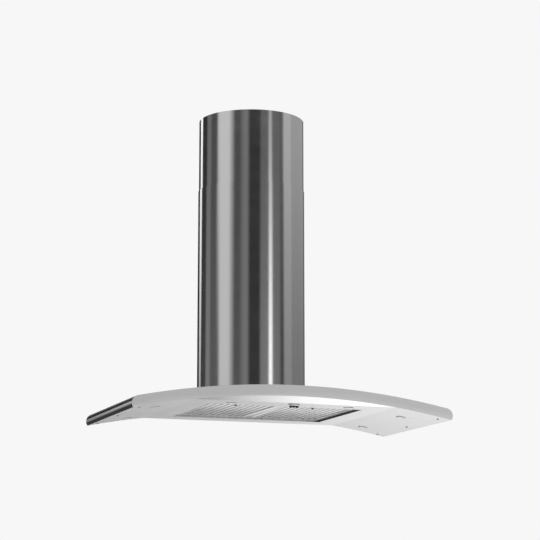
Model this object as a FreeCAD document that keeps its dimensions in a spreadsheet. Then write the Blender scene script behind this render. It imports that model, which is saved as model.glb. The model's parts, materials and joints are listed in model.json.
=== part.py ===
"""Curved wall hood: an arched steel canopy under a telescopic round chimney.

Millimetres, +Z up, +X to the right seen from the front, the front towards -Y.
The wall is the plane Y = 0, and the origin is the middle of the canopy's back.
Every driving size is a cell of the sheet Sizes.  Lengths worked out from them
are either written where they are used or, where several pieces share one, kept
as a named property of the variable set Derived.
"""
import FreeCAD
import Part
import math
import os
import Sketcher
from FreeCAD import Placement, Rotation, Vector

DRIVING_SIZES = (
    # the canopy
    ("hood_width", "900", "canopy, widest point of the rolled ends"),
    ("hood_depth", "470", "canopy, wall to front face"),
    ("band_height", "29", "height of the curved band, measured upright"),
    ("arch_radius", "2150", "radius of the canopy's arch"),
    ("fold_half_span", "284.5", "middle of the hood to the folds of its underside"),
    ("roll_radius", "20", "radius of the rolled ends"),
    ("origin_rise", "24", "height of the origin above the flat underside"),
    ("skin_gauge", "1", "steel of the canopy"),
    ("fascia_gauge", "1.2", "steel of the fascia and the back"),
    ("filler_lap", "8", "front filler, height hidden behind the fascia"),
    ("seat_gap", "0.1", "clearance where curved sheets lie on each other"),
    ("loose_gap", "0.3", "clearance between pieces that only pass each other"),
    ("run_gap", "0.05", "radial clearance of pins and shafts"),
    # the end rails and their screws
    ("rail_inset", "50", "widest point to the web of an end rail"),
    ("rail_width", "30", "flange of an end rail"),
    ("rail_gauge", "1.5", "steel of an end rail"),
    ("wing_screw_inset", "29", "widest point to a row of wing screws"),
    ("wing_screw_back", "17", "wall to the rear wing screw"),
    ("wing_screw_set_back", "35", "front face to the front wing screw"),
    ("wing_screw_head", "3", "radius of a wing screw's head"),
    ("wing_screw_crown", "2", "radius of the flat of a wing screw's head"),
    ("wing_screw_head_drop", "1.2", "height of a wing screw's head"),
    ("wing_screw_shank", "1.5", "radius of a wing screw's shank"),
    ("wing_screw_length", "8", "length of a wing screw's shank"),
    # the recess for the filters
    ("recess_half_width", "219", "half the width of the filter recess"),
    ("recess_set_back", "83", "front face to the front edge of the filter recess"),
    ("recess_back", "62", "wall to the rear edge of the filter recess"),
    ("filter_set_in", "5.5", "filter face above the flat underside"),
    ("ledge_width", "12", "ledge above the rim of the filters"),
    ("divider_width", "26", "bar above the seam of the two filters"),
    # the filters
    ("filter_gap", "1.5", "from one filter to the other"),
    ("filter_side_gap", "1.6", "filter to the recess wall beside it"),
    ("filter_rear_gap", "0.5", "filter to the rear wall of the recess"),
    ("filter_front_gap", "3.5", "filter to the front wall of the recess"),
    ("filter_height", "10.5", "thickness of a filter"),
    ("filter_gauge", "1", "steel of a filter's rim"),
    ("filter_side_lip", "17.2", "filter rim, width of the side lips"),
    ("filter_rear_lip", "14", "filter rim, width of the rear lip"),
    ("filter_front_lip", "26", "filter rim, width of the front lip"),
    ("baffle_pitch", "17.6", "from one slot to the next"),
    ("slot_count", "11", "slots of one filter"),
    ("baffle_width", "11.4", "width of a lower baffle"),
    ("baffle_depth", "5.4", "height of a baffle"),
    ("baffle_gauge", "0.8", "steel of a baffle"),
    ("baffle_lap", "6", "length of a baffle's end on a lip"),
    ("upper_baffle_width", "15.4", "width of an upper baffle"),
    ("tongue_width", "24", "width of a filter's rear tongues"),
    ("tongue_length", "4.5", "reach of a tongue behind the recess wall"),
    ("tongue_gauge", "1.2", "steel of a tongue"),
    ("tongue_span", "70", "middle of a filter to a tongue"),
    # the latch of each filter
    ("latch_offset", "29", "middle of a filter to its latch, to the left"),
    ("latch_travel", "4", "stroke of a latch"),
    ("bolt_width", "14", "width of a latch bolt"),
    ("bolt_gauge", "1.6", "thickness of a latch bolt"),
    ("bolt_length", "19", "length of a latch bolt"),
    ("knob_radius", "3", "radius of a latch knob"),
    ("knob_neck_radius", "1.6", "radius of a latch knob's neck"),
    ("knob_clear", "0.6", "latch knob above the flat underside"),
    ("knob_back", "10.5", "filter's front face to its knob"),
    # the lamps
    ("lamp_radius", "13.6", "radius of a lamp's rim"),
    ("lamp_body_radius", "12", "radius of a lamp's body"),
    ("lamp_lens_radius", "10.9", "radius of a lamp's diffuser"),
    ("lamp_rim_height", "0.8", "height of a lamp's rim"),
    ("lamp_height", "13", "height of a lamp above the sheet"),
    ("lens_height", "0.6", "thickness of a lamp's diffuser"),
    ("pan_lamp_span", "165", "middle of the hood to a front lamp"),
    ("pan_lamp_set_back", "50", "front face to a front lamp"),
    ("wing_lamp_inset", "98", "widest point to a wing lamp"),
    ("wing_lamp_set_back", "127", "front face to a front wing lamp"),
    ("wing_lamp_back", "70", "wall to a rear wing lamp"),
    # the controls
    ("pod_width", "28.4", "width of the control pod"),
    ("pod_depth", "11", "control pod, front to rear"),
    ("pod_height", "4.5", "height of the control pod"),
    ("pod_set_back", "25", "front face to the control pod"),
    ("button_radius", "3.7", "radius of a button"),
    ("button_pitch", "8.9", "from one button to the next"),
    ("button_drop", "4.5", "button below the pod"),
    ("button_travel", "1.5", "stroke of a button"),
    ("button_collar", "0.6", "reach of the square collar that keeps a button in"),
    ("button_collar_height", "0.7", "height of that collar"),
    ("board_width", "64", "width of the control board"),
    ("board_depth", "26", "control board, front to rear"),
    ("board_gauge", "1.6", "thickness of the control board"),
    ("switch_side", "6", "side of a switch on the board"),
    ("switch_height", "4.5", "height of a switch"),
    ("standoff_side", "6", "side of a board post"),
    # the chimney
    ("chimney_radius", "152", "outer radius of the lower chimney cover"),
    ("chimney_setback", "99", "wall to the chimney's axis"),
    ("chimney_gauge", "1", "steel of the chimney covers"),
    ("chimney_wall_gap", "1", "wall to the lower chimney cover"),
    ("cover_gap", "0.6", "from one chimney cover to the other"),
    ("cover_return", "12", "chimney covers, width of the rear returns"),
    ("lower_cover_top", "625", "height of the lower cover's top"),
    ("upper_cover_top", "832", "height of the upper cover's top"),
    ("upper_cover_length", "550", "length of the upper cover"),
    ("top_bracket_height", "30", "height of the ceiling bracket"),
    ("top_bracket_gauge", "2", "steel of the ceiling bracket"),
    ("top_bracket_drop", "20", "top of the cover to the ceiling bracket"),
    ("top_bracket_hole_span", "60", "middle to a ceiling bracket hole"),
    ("clip_side", "24", "foot clip, length of a leg"),
    ("clip_width", "30", "foot clip, width"),
    ("cover_screw_radius", "2", "radius of the bracket screws"),
    ("cover_screw_head", "3.8", "radius of the bracket screws' heads"),
    ("cover_screw_head_height", "1.6", "height of the bracket screws' heads"),
    # the wall frame
    ("frame_side_gap", "14.19", "wall frame to the returns of the lower chimney cover"),
    ("frame_top", "390", "height of the wall frame's upper edge"),
    ("frame_gauge", "1.5", "steel of the wall frame"),
    ("frame_flange_inset", "14", "edge of the wall frame to its flange"),
    ("frame_hole_radius", "4", "radius of the wall frame's holes"),
    ("frame_hole_inset", "35", "edge of the wall frame to its holes"),
    ("frame_hole_low", "70", "height of the lower holes"),
    ("frame_hole_high", "290", "height of the upper holes"),
    ("back_hole_span", "180", "middle to a hole of the canopy's back"),
    ("back_hole_rise", "8", "height of the holes of the canopy's back"),
    # the blower
    ("blower_height", "136", "height of the impeller's axis"),
    ("blower_shift", "9", "impeller's axis left of the middle"),
    ("scroll_width", "150", "blower housing, front to rear"),
    ("scroll_wall", "2", "wall of the blower housing"),
    ("scroll_start", "80", "radius of the spiral where it starts"),
    ("scroll_growth", "9", "growth of the spiral in a quarter turn"),
    ("scroll_neck", "20", "height of the blower's mouth above the tongue"),
    ("inlet_radius", "60", "radius of the blower's inlets"),
    ("impeller_radius", "70", "outer radius of the impeller"),
    ("impeller_inner", "58", "inner radius of the blades"),
    ("impeller_width", "116", "width of the impeller"),
    ("impeller_ring", "3", "width of the impeller's end rings"),
    ("impeller_disc", "2", "thickness of the impeller's middle disc"),
    ("blade_count", "24", "blades of the impeller"),
    ("blade_gauge", "1.2", "thickness of a blade"),
    ("blade_lean", "5", "lead of a blade's tip over its root, and its distance from the rim"),
    ("hub_radius", "9", "radius of the impeller's hub"),
    ("hub_length", "14", "length of the impeller's hub"),
    ("shaft_radius", "4", "radius of the motor's shaft"),
    ("motor_radius", "38", "radius of the motor"),
    ("motor_length", "46", "length of the motor"),
    ("motor_gap", "3", "impeller's hub to the motor"),
    ("arm_width", "12", "width of a motor arm"),
    ("arm_gauge", "2", "steel of the motor arms"),
    ("arm_reach", "68", "reach of a motor arm"),
    ("arm_boss_radius", "18", "radius of the boss between the motor arms"),
    ("top_opening_half", "105", "opening in the top cover, half its width"),
    ("top_opening_depth", "168", "opening in the top cover, front to rear"),
    ("top_opening_back", "16", "wall to the opening in the top cover"),
    # the outlet
    ("adapter_half_width", "95", "outlet adapter, half its width"),
    ("adapter_height", "24", "height of the outlet adapter"),
    ("adapter_wall", "1.5", "wall of the outlet adapter"),
    ("collar_radius", "75", "outer radius of the duct collar"),
    ("collar_wall", "1.5", "wall of the duct collar"),
    ("collar_height", "45", "height of the duct collar"),
    ("flap_rise", "12", "height of the flap pin above the adapter"),
    ("flap_pin_radius", "2", "radius of the flap pin"),
    ("flap_gauge", "1", "thickness of a damper flap"),
    ("flap_gap", "0.7", "damper flap to the collar"),
    ("flap_seam", "1", "middle of the collar to the edge of a flap"),
    ("knuckle_radius", "3.6", "radius of a flap's knuckles"),
    # the electrical pieces
    ("terminal_width", "70", "width of the terminal box"),
    ("terminal_height", "46", "height of the terminal box"),
    ("terminal_depth", "15", "depth of the terminal box"),
    ("terminal_rise", "320", "height of the terminal box's lower edge"),
    ("gland_radius", "6", "radius of the cable gland"),
    ("gland_bore", "3.5", "radius of the cable gland's bore"),
    ("gland_height", "14", "height of the cable gland"),
    ("driver_width", "44", "width of the lamp driver"),
    ("driver_length", "150", "length of the lamp driver"),
    ("driver_height", "22", "height of the lamp driver"),
    ("driver_span", "256", "middle of the hood to the lamp driver"),
    ("driver_back", "180", "wall to the lamp driver"),
)

document = FreeCAD.newDocument("CurvedHood")
sheet = document.addObject("Spreadsheet::Sheet", "Sizes")
for row, (alias, number, note) in enumerate(DRIVING_SIZES, start=1):
    sheet.set(f"A{row}", alias)
    sheet.set(f"B{row}", number)
    sheet.set(f"C{row}", note)
    sheet.setAlias(f"B{row}", alias)
document.recompute()
derived = document.addObject("App::VarSet", "Derived")


class Length:
    """A length: its number now, and the expression that keeps it bound to the sheet."""

    def __init__(self, number, text):
        self.number = number
        self.text = text

    @staticmethod
    def of(item):
        """Wrap a plain number, and pass a Length through."""
        return item if isinstance(item, Length) else Length(float(item), repr(float(item)))

    def __add__(self, other):
        other = Length.of(other)
        return Length(self.number + other.number, f"({self.text} + {other.text})")

    def __sub__(self, other):
        other = Length.of(other)
        return Length(self.number - other.number, f"({self.text} - {other.text})")

    def __mul__(self, other):
        other = Length.of(other)
        return Length(self.number * other.number, f"({self.text} * {other.text})")

    def __truediv__(self, other):
        other = Length.of(other)
        return Length(self.number / other.number, f"({self.text} / {other.text})")

    def __neg__(self):
        return Length(-self.number, f"(-1 * {self.text})")

    def __radd__(self, other):
        return Length.of(other) + self

    def __rsub__(self, other):
        return Length.of(other) - self

    def __rmul__(self, other):
        return Length.of(other) * self

    @property
    def squared(self):
        """The length times itself."""
        return self * self

    @property
    def root(self):
        """The square root of a squared length."""
        return Length(math.sqrt(self.number), f"sqrt({self.text})")


def size(alias):
    """A driving size of the sheet."""
    return Length(float(getattr(sheet, alias)), f"Sizes.{alias}")


def named(name, length):
    """Keep a length that several pieces share as a property of Derived."""
    derived.addProperty("App::PropertyFloat", name)
    derived.setExpression(name, length.text)
    return Length(length.number, f"Derived.{name}")


def bind(target, path, length):
    """Bind a property to a length."""
    target.setExpression(path, Length.of(length).text)


def place(target, x=0, y=0, z=0):
    """Bind the place of an object."""
    for axis, distance in (("x", x), ("y", y), ("z", z)):
        bind(target, f".Placement.Base.{axis}", distance)
    return target


# ---------------------------------------------------------------- drawing tools

def new_body(label):
    """An empty body whose label names the sub-part."""
    body = document.addObject("PartDesign::Body", "Body")
    body.Label = label
    body.AllowCompound = True
    return body


def new_sketch(body, role, offset=0):
    """A sketch on one of the body's own origin planes, moved along that plane's normal."""
    sketch = body.newObject("Sketcher::SketchObject", f"{body.Name}Sketch")
    plane = next(item for item in body.Origin.OriginFeatures if item.Role == role)
    sketch.AttachmentSupport = [(plane, "")]
    sketch.MapMode = "FlatFace"
    bind(sketch, ".AttachmentOffset.Base.z", offset)
    return sketch


def pin_point(sketch, geometry, position, x, y):
    """Bind one point of a sketch to its distances from the origin."""
    for kind, axis, distance in (("DistanceX", -2, x), ("DistanceY", -1, y)):
        distance = Length.of(distance)
        if distance.text == "0.0":
            sketch.addConstraint(Sketcher.Constraint("PointOnObject", geometry, position, axis))
            continue
        index = sketch.addConstraint(Sketcher.Constraint(kind, geometry, position, distance.number))
        bind(sketch, f"Constraints[{index}]", distance)


def pin_radius(sketch, geometry, radius):
    """Bind the radius of an arc or a circle."""
    radius = Length.of(radius)
    index = sketch.addConstraint(Sketcher.Constraint("Radius", geometry, radius.number))
    bind(sketch, f"Constraints[{index}]", radius)


def arc_geometry(start, end, centre, radius, turn):
    """A circle's arc from start to end, with turn +1 for anticlockwise."""
    first = math.atan2(start[1].number - centre[1].number, start[0].number - centre[0].number)
    last = math.atan2(end[1].number - centre[1].number, end[0].number - centre[0].number)
    if turn < 0:
        first, last = last, first
    if last < first:
        last += 2 * math.pi
    circle = Part.Circle(Vector(centre[0].number, centre[1].number, 0), Vector(0, 0, 1), radius.number)
    return Part.ArcOfCircle(circle, first, last)


def outline(sketch, start, *steps):
    """Draw a closed outline.

    Each step is the next corner (x, y), or (x, y, centre, radius, turn) for an arc to it.
    """
    corners = [tuple(Length.of(item) for item in start)]
    pieces = []
    for step in steps:
        end = (Length.of(step[0]), Length.of(step[1]))
        if len(step) == 2:
            line = Part.LineSegment(*(Vector(p[0].number, p[1].number, 0) for p in (corners[-1], end)))
            pieces.append((sketch.addGeometry(line, False), 1, 2))
        else:
            centre = tuple(Length.of(item) for item in step[2])
            radius = Length.of(step[3])
            arc = arc_geometry(corners[-1], end, centre, radius, step[4])
            index = sketch.addGeometry(arc, False)
            pieces.append((index, 1, 2) if step[4] > 0 else (index, 2, 1))
            pin_radius(sketch, index, radius)
        corners.append(end)
    for (index, first, _), corner in zip(pieces, corners):
        pin_point(sketch, index, first, *corner)
    for (index, _, last), (following, first, _) in zip(pieces, pieces[1:] + pieces[:1]):
        sketch.addConstraint(Sketcher.Constraint("Coincident", index, last, following, first))


def rectangle(sketch, left, low, right, high):
    """Draw a rectangle."""
    outline(sketch, (left, low), (right, low), (right, high), (left, high), (left, low))


def ring(sketch, x, y, radius):
    """Draw a circle."""
    radius = Length.of(radius)
    x, y = Length.of(x), Length.of(y)
    circle = Part.Circle(Vector(x.number, y.number, 0), Vector(0, 0, 1), radius.number)
    index = sketch.addGeometry(circle, False)
    pin_point(sketch, index, 3, x, y)
    pin_radius(sketch, index, radius)


def pad(body, sketch, length, both_ways=False):
    """Raise a sketch along its normal, or half each way."""
    feature = body.newObject("PartDesign::Pad", f"{body.Name}Pad")
    feature.Profile = sketch
    feature.SideType = "Symmetric" if both_ways else "One side"
    bind(feature, "Length", length)
    return feature


def pocket_through(body, sketch):
    """Cut a sketch through the whole body, both ways."""
    feature = body.newObject("PartDesign::Pocket", f"{body.Name}Pocket")
    feature.Profile = sketch
    feature.Type = "ThroughAll"
    feature.SideType = "Symmetric"
    return feature


def revolve(body, sketch):
    """Turn a sketch once round its own upright axis."""
    feature = body.newObject("PartDesign::Revolution", f"{body.Name}Revolution")
    feature.Profile = sketch
    feature.ReferenceAxis = (sketch, ["V_Axis"])
    feature.Angle = 360
    return feature


def box(label, low, extent):
    """A box from its low corner and its three lengths."""
    solid = document.addObject("Part::Box", "Box")
    solid.Label = label
    for side, length in zip(("Length", "Width", "Height"), extent):
        bind(solid, side, length)
    return place(solid, *low)


def cylinder(label, base, radius, height, direction="z"):
    """A cylinder from the middle of its first end, along x, y or z."""
    solid = document.addObject("Part::Cylinder", "Cylinder")
    solid.Label = label
    bind(solid, "Radius", radius)
    bind(solid, "Height", height)
    turns = {
        "x": Rotation(Vector(0, 1, 0), 90),
        "y": Rotation(Vector(1, 0, 0), -90),
        "z": Rotation(),
    }
    solid.Placement = Placement(Vector(), turns[direction])
    return place(solid, *base)


def fuse(label, *pieces):
    """Join pieces into one."""
    if len(pieces) == 1:
        pieces[0].Label = label
        return pieces[0]
    joined = document.addObject("Part::MultiFuse", "Fusion")
    joined.Label = label
    joined.Shapes = list(pieces)
    return joined


def gather(label, *pieces):
    """Keep identical loose pieces together under one name."""
    group = document.addObject("Part::Compound", "Group")
    group.Label = label
    group.Links = list(pieces)
    return group


def cut(label, base, *tools):
    """Take tools away from a base."""
    base.Label = f"{label}_blank"
    result = document.addObject("Part::Cut", "Cut")
    result.Label = label
    result.Base = base
    result.Tool = fuse(f"{label}_tools", *tools)
    return result


# ------------------------------------------------------- lengths that are shared

half_width = size("hood_width") / 2
front = -size("hood_depth")
gauge = size("skin_gauge")
arch = size("arch_radius")
fold = size("fold_half_span")
roll = size("roll_radius")
seat = size("seat_gap")
loose = size("loose_gap")
pan_low = named("pan_low", -size("origin_rise"))
pan_high = named("pan_high", pan_low + gauge)
under_centre = named("under_centre", pan_low - (arch.squared - fold.squared).root)
top_centre = named("top_centre", under_centre + size("band_height"))
top_apex = named("top_apex", top_centre + arch)
roll_x = named("roll_x", half_width - roll)
roll_z = named("roll_z", top_centre + ((arch - roll).squared - roll_x.squared).root)

# the lower corner of a rolled end, where its arc meets the arc of the underside
corner_rise = roll_z - under_centre
corner_span = named("corner_span", (roll_x.squared + corner_rise.squared).root)
corner_along = named(
    "corner_along", (arch.squared - roll.squared + corner_span.squared) / (2 * corner_span)
)
corner_across = named("corner_across", (arch.squared - corner_along.squared).root)
corner_x = named("corner_x", (corner_along * roll_x + corner_across * corner_rise) / corner_span)
corner_z = named(
    "corner_z",
    under_centre + (corner_along * corner_rise - corner_across * roll_x) / corner_span,
)

fascia_back = named("fascia_back", front + size("fascia_gauge"))
filler_back = named("filler_back", fascia_back + gauge)
recess_rear = named("recess_rear", -size("recess_back"))
recess_front = named("recess_front", front + size("recess_set_back"))
filter_low = named("filter_low", pan_low + size("filter_set_in"))
filter_high = named("filter_high", filter_low + size("filter_height"))
ledge_low = named("ledge_low", filter_high + loose)
axis_y = named("axis_y", -size("chimney_setback"))


def on_arc(x, radius, centre):
    """Height of an arc of the arch above or below a place across the hood."""
    x = Length.of(x)
    return centre + (Length.of(radius).squared - x.squared).root


def roll_corner(radius):
    """The lower corner of a rolled end's arc, drawn in to a smaller radius."""
    share = radius / roll
    return roll_x + (corner_x - roll_x) * share, roll_z + (corner_z - roll_z) * share


def roll_start(radius):
    """The point where a rolled end leaves the arch, for a skin drawn in to that radius."""
    share = (arch - roll + radius) / (arch - roll)
    return roll_x * share, top_centre + (roll_z - top_centre) * share


# ------------------------------------------------------------------- the canopy

def front_fascia():
    """The curved band of the front, with its rounded ends."""
    body = new_body("front_fascia")
    sketch = new_sketch(body, "XZ_Plane", -fascia_back)
    start_x, start_z = roll_start(roll)
    outline(
        sketch,
        (corner_x, corner_z),
        (start_x, start_z, (roll_x, roll_z), roll, 1),
        (-start_x, start_z, (0, top_centre), arch, 1),
        (-corner_x, corner_z, (-roll_x, roll_z), roll, 1),
        (corner_x, corner_z, (0, under_centre), arch, -1),
    )
    pad(body, sketch, size("fascia_gauge"))
    return body


def top_cover():
    """The arched top sheet, rolled over at both ends, open under the chimney."""
    body = new_body("top_cover")
    sketch = new_sketch(body, "XZ_Plane")
    inner = roll - gauge
    start_x, start_z = roll_start(roll)
    inner_start_x, inner_start_z = roll_start(inner)
    inner_x, inner_z = roll_corner(inner)
    outline(
        sketch,
        (corner_x, corner_z),
        (start_x, start_z, (roll_x, roll_z), roll, 1),
        (-start_x, start_z, (0, top_centre), arch, 1),
        (-corner_x, corner_z, (-roll_x, roll_z), roll, 1),
        (-inner_x, inner_z),
        (-inner_start_x, inner_start_z, (-roll_x, roll_z), inner, -1),
        (inner_start_x, inner_start_z, (0, top_centre), arch - gauge, -1),
        (inner_x, inner_z, (roll_x, roll_z), inner, -1),
        (corner_x, corner_z),
    )
    pad(body, sketch, -fascia_back)
    opening = new_sketch(body, "XY_Plane")
    rear = -size("top_opening_back")
    half = size("top_opening_half")
    rectangle(opening, -half, rear - size("top_opening_depth"), half, rear)
    pocket_through(body, opening)
    return body


def front_filler():
    """The polished crescent that closes the front between the band and the flat underside."""
    body = new_body("front_filler")
    sketch = new_sketch(body, "XZ_Plane", -filler_back)
    lapped = arch + size("filler_lap")
    side = on_arc(fold, lapped, under_centre)
    outline(
        sketch,
        (-fold, pan_low),
        (fold, pan_low),
        (fold, side),
        (-fold, side, (0, under_centre), lapped, 1),
        (-fold, pan_low),
    )
    pad(body, sketch, gauge)
    return body


def rear_panel():
    """The canopy's back, which lies on the wall."""
    body = new_body("rear_panel")
    sketch = new_sketch(body, "XZ_Plane")
    above = arch - gauge - seat
    below = arch + gauge + seat
    floor = pan_high + seat
    outline(
        sketch,
        (-fold, floor),
        (fold, floor),
        (roll_x, on_arc(roll_x, below, under_centre), (0, under_centre), below, -1),
        (roll_x, on_arc(roll_x, above, top_centre)),
        (-roll_x, on_arc(roll_x, above, top_centre), (0, top_centre), above, 1),
        (-roll_x, on_arc(roll_x, below, under_centre)),
        (-fold, floor, (0, under_centre), below, -1),
    )
    pad(body, sketch, size("fascia_gauge"))
    holes = new_sketch(body, "XZ_Plane")
    for side in (-1, 1):
        ring(holes, side * size("back_hole_span"), size("back_hole_rise"), size("frame_hole_radius"))
    pocket_through(body, holes)
    return body


def lamp_places():
    """Place and lean of each lamp, as (x, y, z, lean in degrees)."""
    places = []
    for side in (-1, 1):
        places.append((side * size("pan_lamp_span"), front + size("pan_lamp_set_back"), pan_low, 0.0))
        x = half_width - size("wing_lamp_inset")
        lean = math.degrees(math.asin(x.number / arch.number))
        for y in (front + size("wing_lamp_set_back"), -size("wing_lamp_back")):
            places.append((side * x, y, on_arc(x, arch, under_centre), side * lean))
    return places


def button_places():
    """Distances of the buttons from the middle of the pod."""
    return [step * size("button_pitch") for step in (-1, 0, 1)]


def centre_pan():
    """The flat middle of the underside, open for the filters, two lamps and the buttons."""
    body = new_body("centre_pan")
    sketch = new_sketch(body, "XY_Plane", pan_low)
    rectangle(sketch, -fold, filler_back, fold, 0)
    pad(body, sketch, gauge)
    openings = new_sketch(body, "XY_Plane")
    half = size("recess_half_width")
    rectangle(openings, -half, recess_front, half, recess_rear)
    for x, y, _, lean in lamp_places():
        if lean == 0.0:
            ring(openings, x, y, size("lamp_body_radius") + loose)
    for x in button_places():
        ring(openings, x, front + size("pod_set_back"), size("button_radius") + loose)
    pocket_through(body, openings)
    return body


def wing_panel(label, side):
    """One curved wing of the underside, open for its lamps and screws."""
    body = new_body(label)
    sketch = new_sketch(body, "XZ_Plane")
    edge_x, _ = roll_corner(roll - gauge - seat)
    upper = arch + gauge
    outline(
        sketch,
        (side * fold, on_arc(fold, arch, under_centre)),
        (side * edge_x, on_arc(edge_x, arch, under_centre), (0, under_centre), arch, -side),
        (side * edge_x, on_arc(edge_x, upper, under_centre)),
        (side * fold, on_arc(fold, upper, under_centre), (0, under_centre), upper, side),
        (side * fold, on_arc(fold, arch, under_centre)),
    )
    pad(body, sketch, -fascia_back)
    openings = new_sketch(body, "XY_Plane")
    for x, y, _, lean in lamp_places():
        if lean * side > 0:
            ring(openings, x, y, size("lamp_body_radius") + 2 * loose)
    for y in wing_screw_rows():
        ring(openings, side * wing_screw_x(), y, size("wing_screw_shank") + loose)
    pocket_through(body, openings)
    return body


def wing_screw_x():
    """Distance of the wing screws from the middle of the hood."""
    return half_width - size("wing_screw_inset")


def wing_screw_rows():
    """Places of the wing screws from front to rear: near the front, halfway, near the wall."""
    foremost = front + size("wing_screw_set_back")
    rearmost = -size("wing_screw_back")
    return [foremost, (foremost + rearmost) / 2, rearmost]


def end_rail(label, side):
    """A channel inside one end, which ties the wing to the top cover."""
    body = new_body(label)
    sketch = new_sketch(body, "XZ_Plane", size("fascia_gauge") + seat)
    inner = half_width - size("rail_inset")
    web = inner + size("rail_gauge")
    outer = inner + size("rail_width")
    floor = arch + gauge + seat
    floor_top = floor + size("rail_gauge")
    roof = arch - gauge - seat
    roof_under = roof - size("rail_gauge")
    under = (0, under_centre)
    above = (0, top_centre)
    outline(
        sketch,
        (side * inner, on_arc(inner, floor, under_centre)),
        (side * outer, on_arc(outer, floor, under_centre), under, floor, -side),
        (side * outer, on_arc(outer, floor_top, under_centre)),
        (side * web, on_arc(web, floor_top, under_centre), under, floor_top, side),
        (side * web, on_arc(web, roof_under, top_centre)),
        (side * outer, on_arc(outer, roof_under, top_centre), above, roof_under, -side),
        (side * outer, on_arc(outer, roof, top_centre)),
        (side * inner, on_arc(inner, roof, top_centre), above, roof, side),
        (side * inner, on_arc(inner, floor, under_centre)),
    )
    pad(body, sketch, -fascia_back - size("fascia_gauge") - 2 * seat)
    start = on_arc(inner, floor_top, under_centre) + loose
    openings = new_sketch(body, "XY_Plane", start)
    for y in wing_screw_rows():
        ring(openings, side * wing_screw_x(), y, size("wing_screw_shank") + 2 * loose)
    pocket = body.newObject("PartDesign::Pocket", f"{body.Name}Pocket")
    pocket.Profile = openings
    bind(pocket, "Length", start - on_arc(outer, floor, under_centre) + loose)
    return body


def wing_screws():
    """The six round-headed screws of the wings."""
    screws = []
    x = wing_screw_x()
    z = on_arc(x, arch, under_centre)
    lean = math.degrees(math.asin(x.number / arch.number))
    for side in (-1, 1):
        for y in wing_screw_rows():
            body = new_body("wing_screw")
            sketch = new_sketch(body, "XZ_Plane")
            head = size("wing_screw_head")
            shank = size("wing_screw_shank")
            drop = size("wing_screw_head_drop")
            outline(
                sketch,
                (0, -drop - seat),
                (size("wing_screw_crown"), -drop - seat),
                (head, -seat),
                (shank, -seat),
                (shank, size("wing_screw_length")),
                (0, size("wing_screw_length")),
                (0, -drop - seat),
            )
            revolve(body, sketch)
            body.Placement = Placement(Vector(), Rotation(Vector(0, 1, 0), side * lean))
            screws.append(place(body, side * x, y, z))
    return gather("wing_screws", *screws)


# ---------------------------------------------------------- lamps and controls

def lamp(x, y, z, lean):
    """One spot lamp: a turned body with its rim, and the diffuser under it."""
    outer = size("lamp_body_radius")
    rim = size("lamp_radius")
    top = size("lamp_height")
    bottom = -seat - size("lamp_rim_height")
    shell = new_body("lamp_body")
    outline(
        new_sketch(shell, "XZ_Plane"),
        (0, bottom),
        (rim, bottom),
        (rim, -seat),
        (outer, -seat),
        (outer, top),
        (0, top),
        (0, bottom),
    )
    revolve(shell, shell.Group[0])
    lens = new_body("lamp_lens")
    disc = new_sketch(lens, "XY_Plane", bottom - seat - size("lens_height"))
    ring(disc, 0, 0, size("lamp_lens_radius"))
    pad(lens, disc, size("lens_height"))
    for piece in (shell, lens):
        piece.Placement = Placement(Vector(), Rotation(Vector(0, 1, 0), lean))
        place(piece, x, y, z)
    return shell, lens


def lamps():
    """The six spot lamps, with the bodies under one name and the lenses under another."""
    bodies, lenses = zip(*(lamp(*spot) for spot in lamp_places()))
    return [gather("lamp_bodies", *bodies), gather("lamp_lenses", *lenses)]


def control_pod():
    """The polished pod under the front edge, bored for three buttons."""
    y = front + size("pod_set_back")
    low = pan_low - size("pod_height")
    height = size("pod_height")
    end = size("pod_depth") / 2
    straight = size("pod_width") / 2 - end
    pieces = [box("pod", (-straight, y - end, low), (2 * straight, 2 * end, height))]
    pieces += [cylinder("pod_end", (side * straight, y, low), end, height) for side in (-1, 1)]
    bores = [
        cylinder("pod_bore", (x, y, low), size("button_radius") + size("run_gap"), height)
        for x in button_places()
    ]
    return cut("control_pod", fuse("pod_blank", *pieces), *bores)


def buttons():
    """Three push buttons, which slide up into the pod."""
    y = front + size("pod_set_back")
    low = pan_low - size("pod_height") - size("button_drop")
    collar_low = pan_high + seat
    collar = size("button_collar_height")
    half = size("button_radius") + size("button_collar")
    keys = []
    for number, x in enumerate(button_places(), start=1):
        keys.append(fuse(
            f"button_{number}",
            cylinder("key", (x, y, low), size("button_radius"), collar_low + collar - low),
            box("collar", (x - half, y - half, collar_low), (2 * half, 2 * half, collar)),
        ))
    return keys


def control_board():
    """The board above the pod, with a switch over each button, on two square posts."""
    y = front + size("pod_set_back")
    switch = size("switch_side")
    key_top = pan_high + seat + size("button_collar_height")
    switch_low = key_top + size("button_travel") + loose
    board_low = switch_low + size("switch_height")
    half = size("board_width") / 2
    pieces = [
        box("board", (-half, y - size("pod_depth"), board_low),
            (size("board_width"), size("board_depth"), size("board_gauge")))
    ]
    for x in button_places():
        pieces.append(box("switch", (x - switch / 2, y - switch / 2, switch_low),
                          (switch, switch, size("switch_height"))))
    post = size("standoff_side")
    for side in (-1, 1):
        x = side * (half - post)
        pieces.append(box("post", (x - post / 2, y - post / 2, pan_high),
                          (post, post, board_low - pan_high)))
    return fuse("control_board", *pieces)


# ------------------------------------------------------- the recess and filters

def filter_centres():
    """The middle of each filter across the hood, left one first."""
    width = size("recess_half_width") - size("filter_side_gap") - size("filter_gap") / 2
    offset = size("filter_gap") / 2 + width / 2
    return width, (("left", -offset), ("right", offset))


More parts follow.
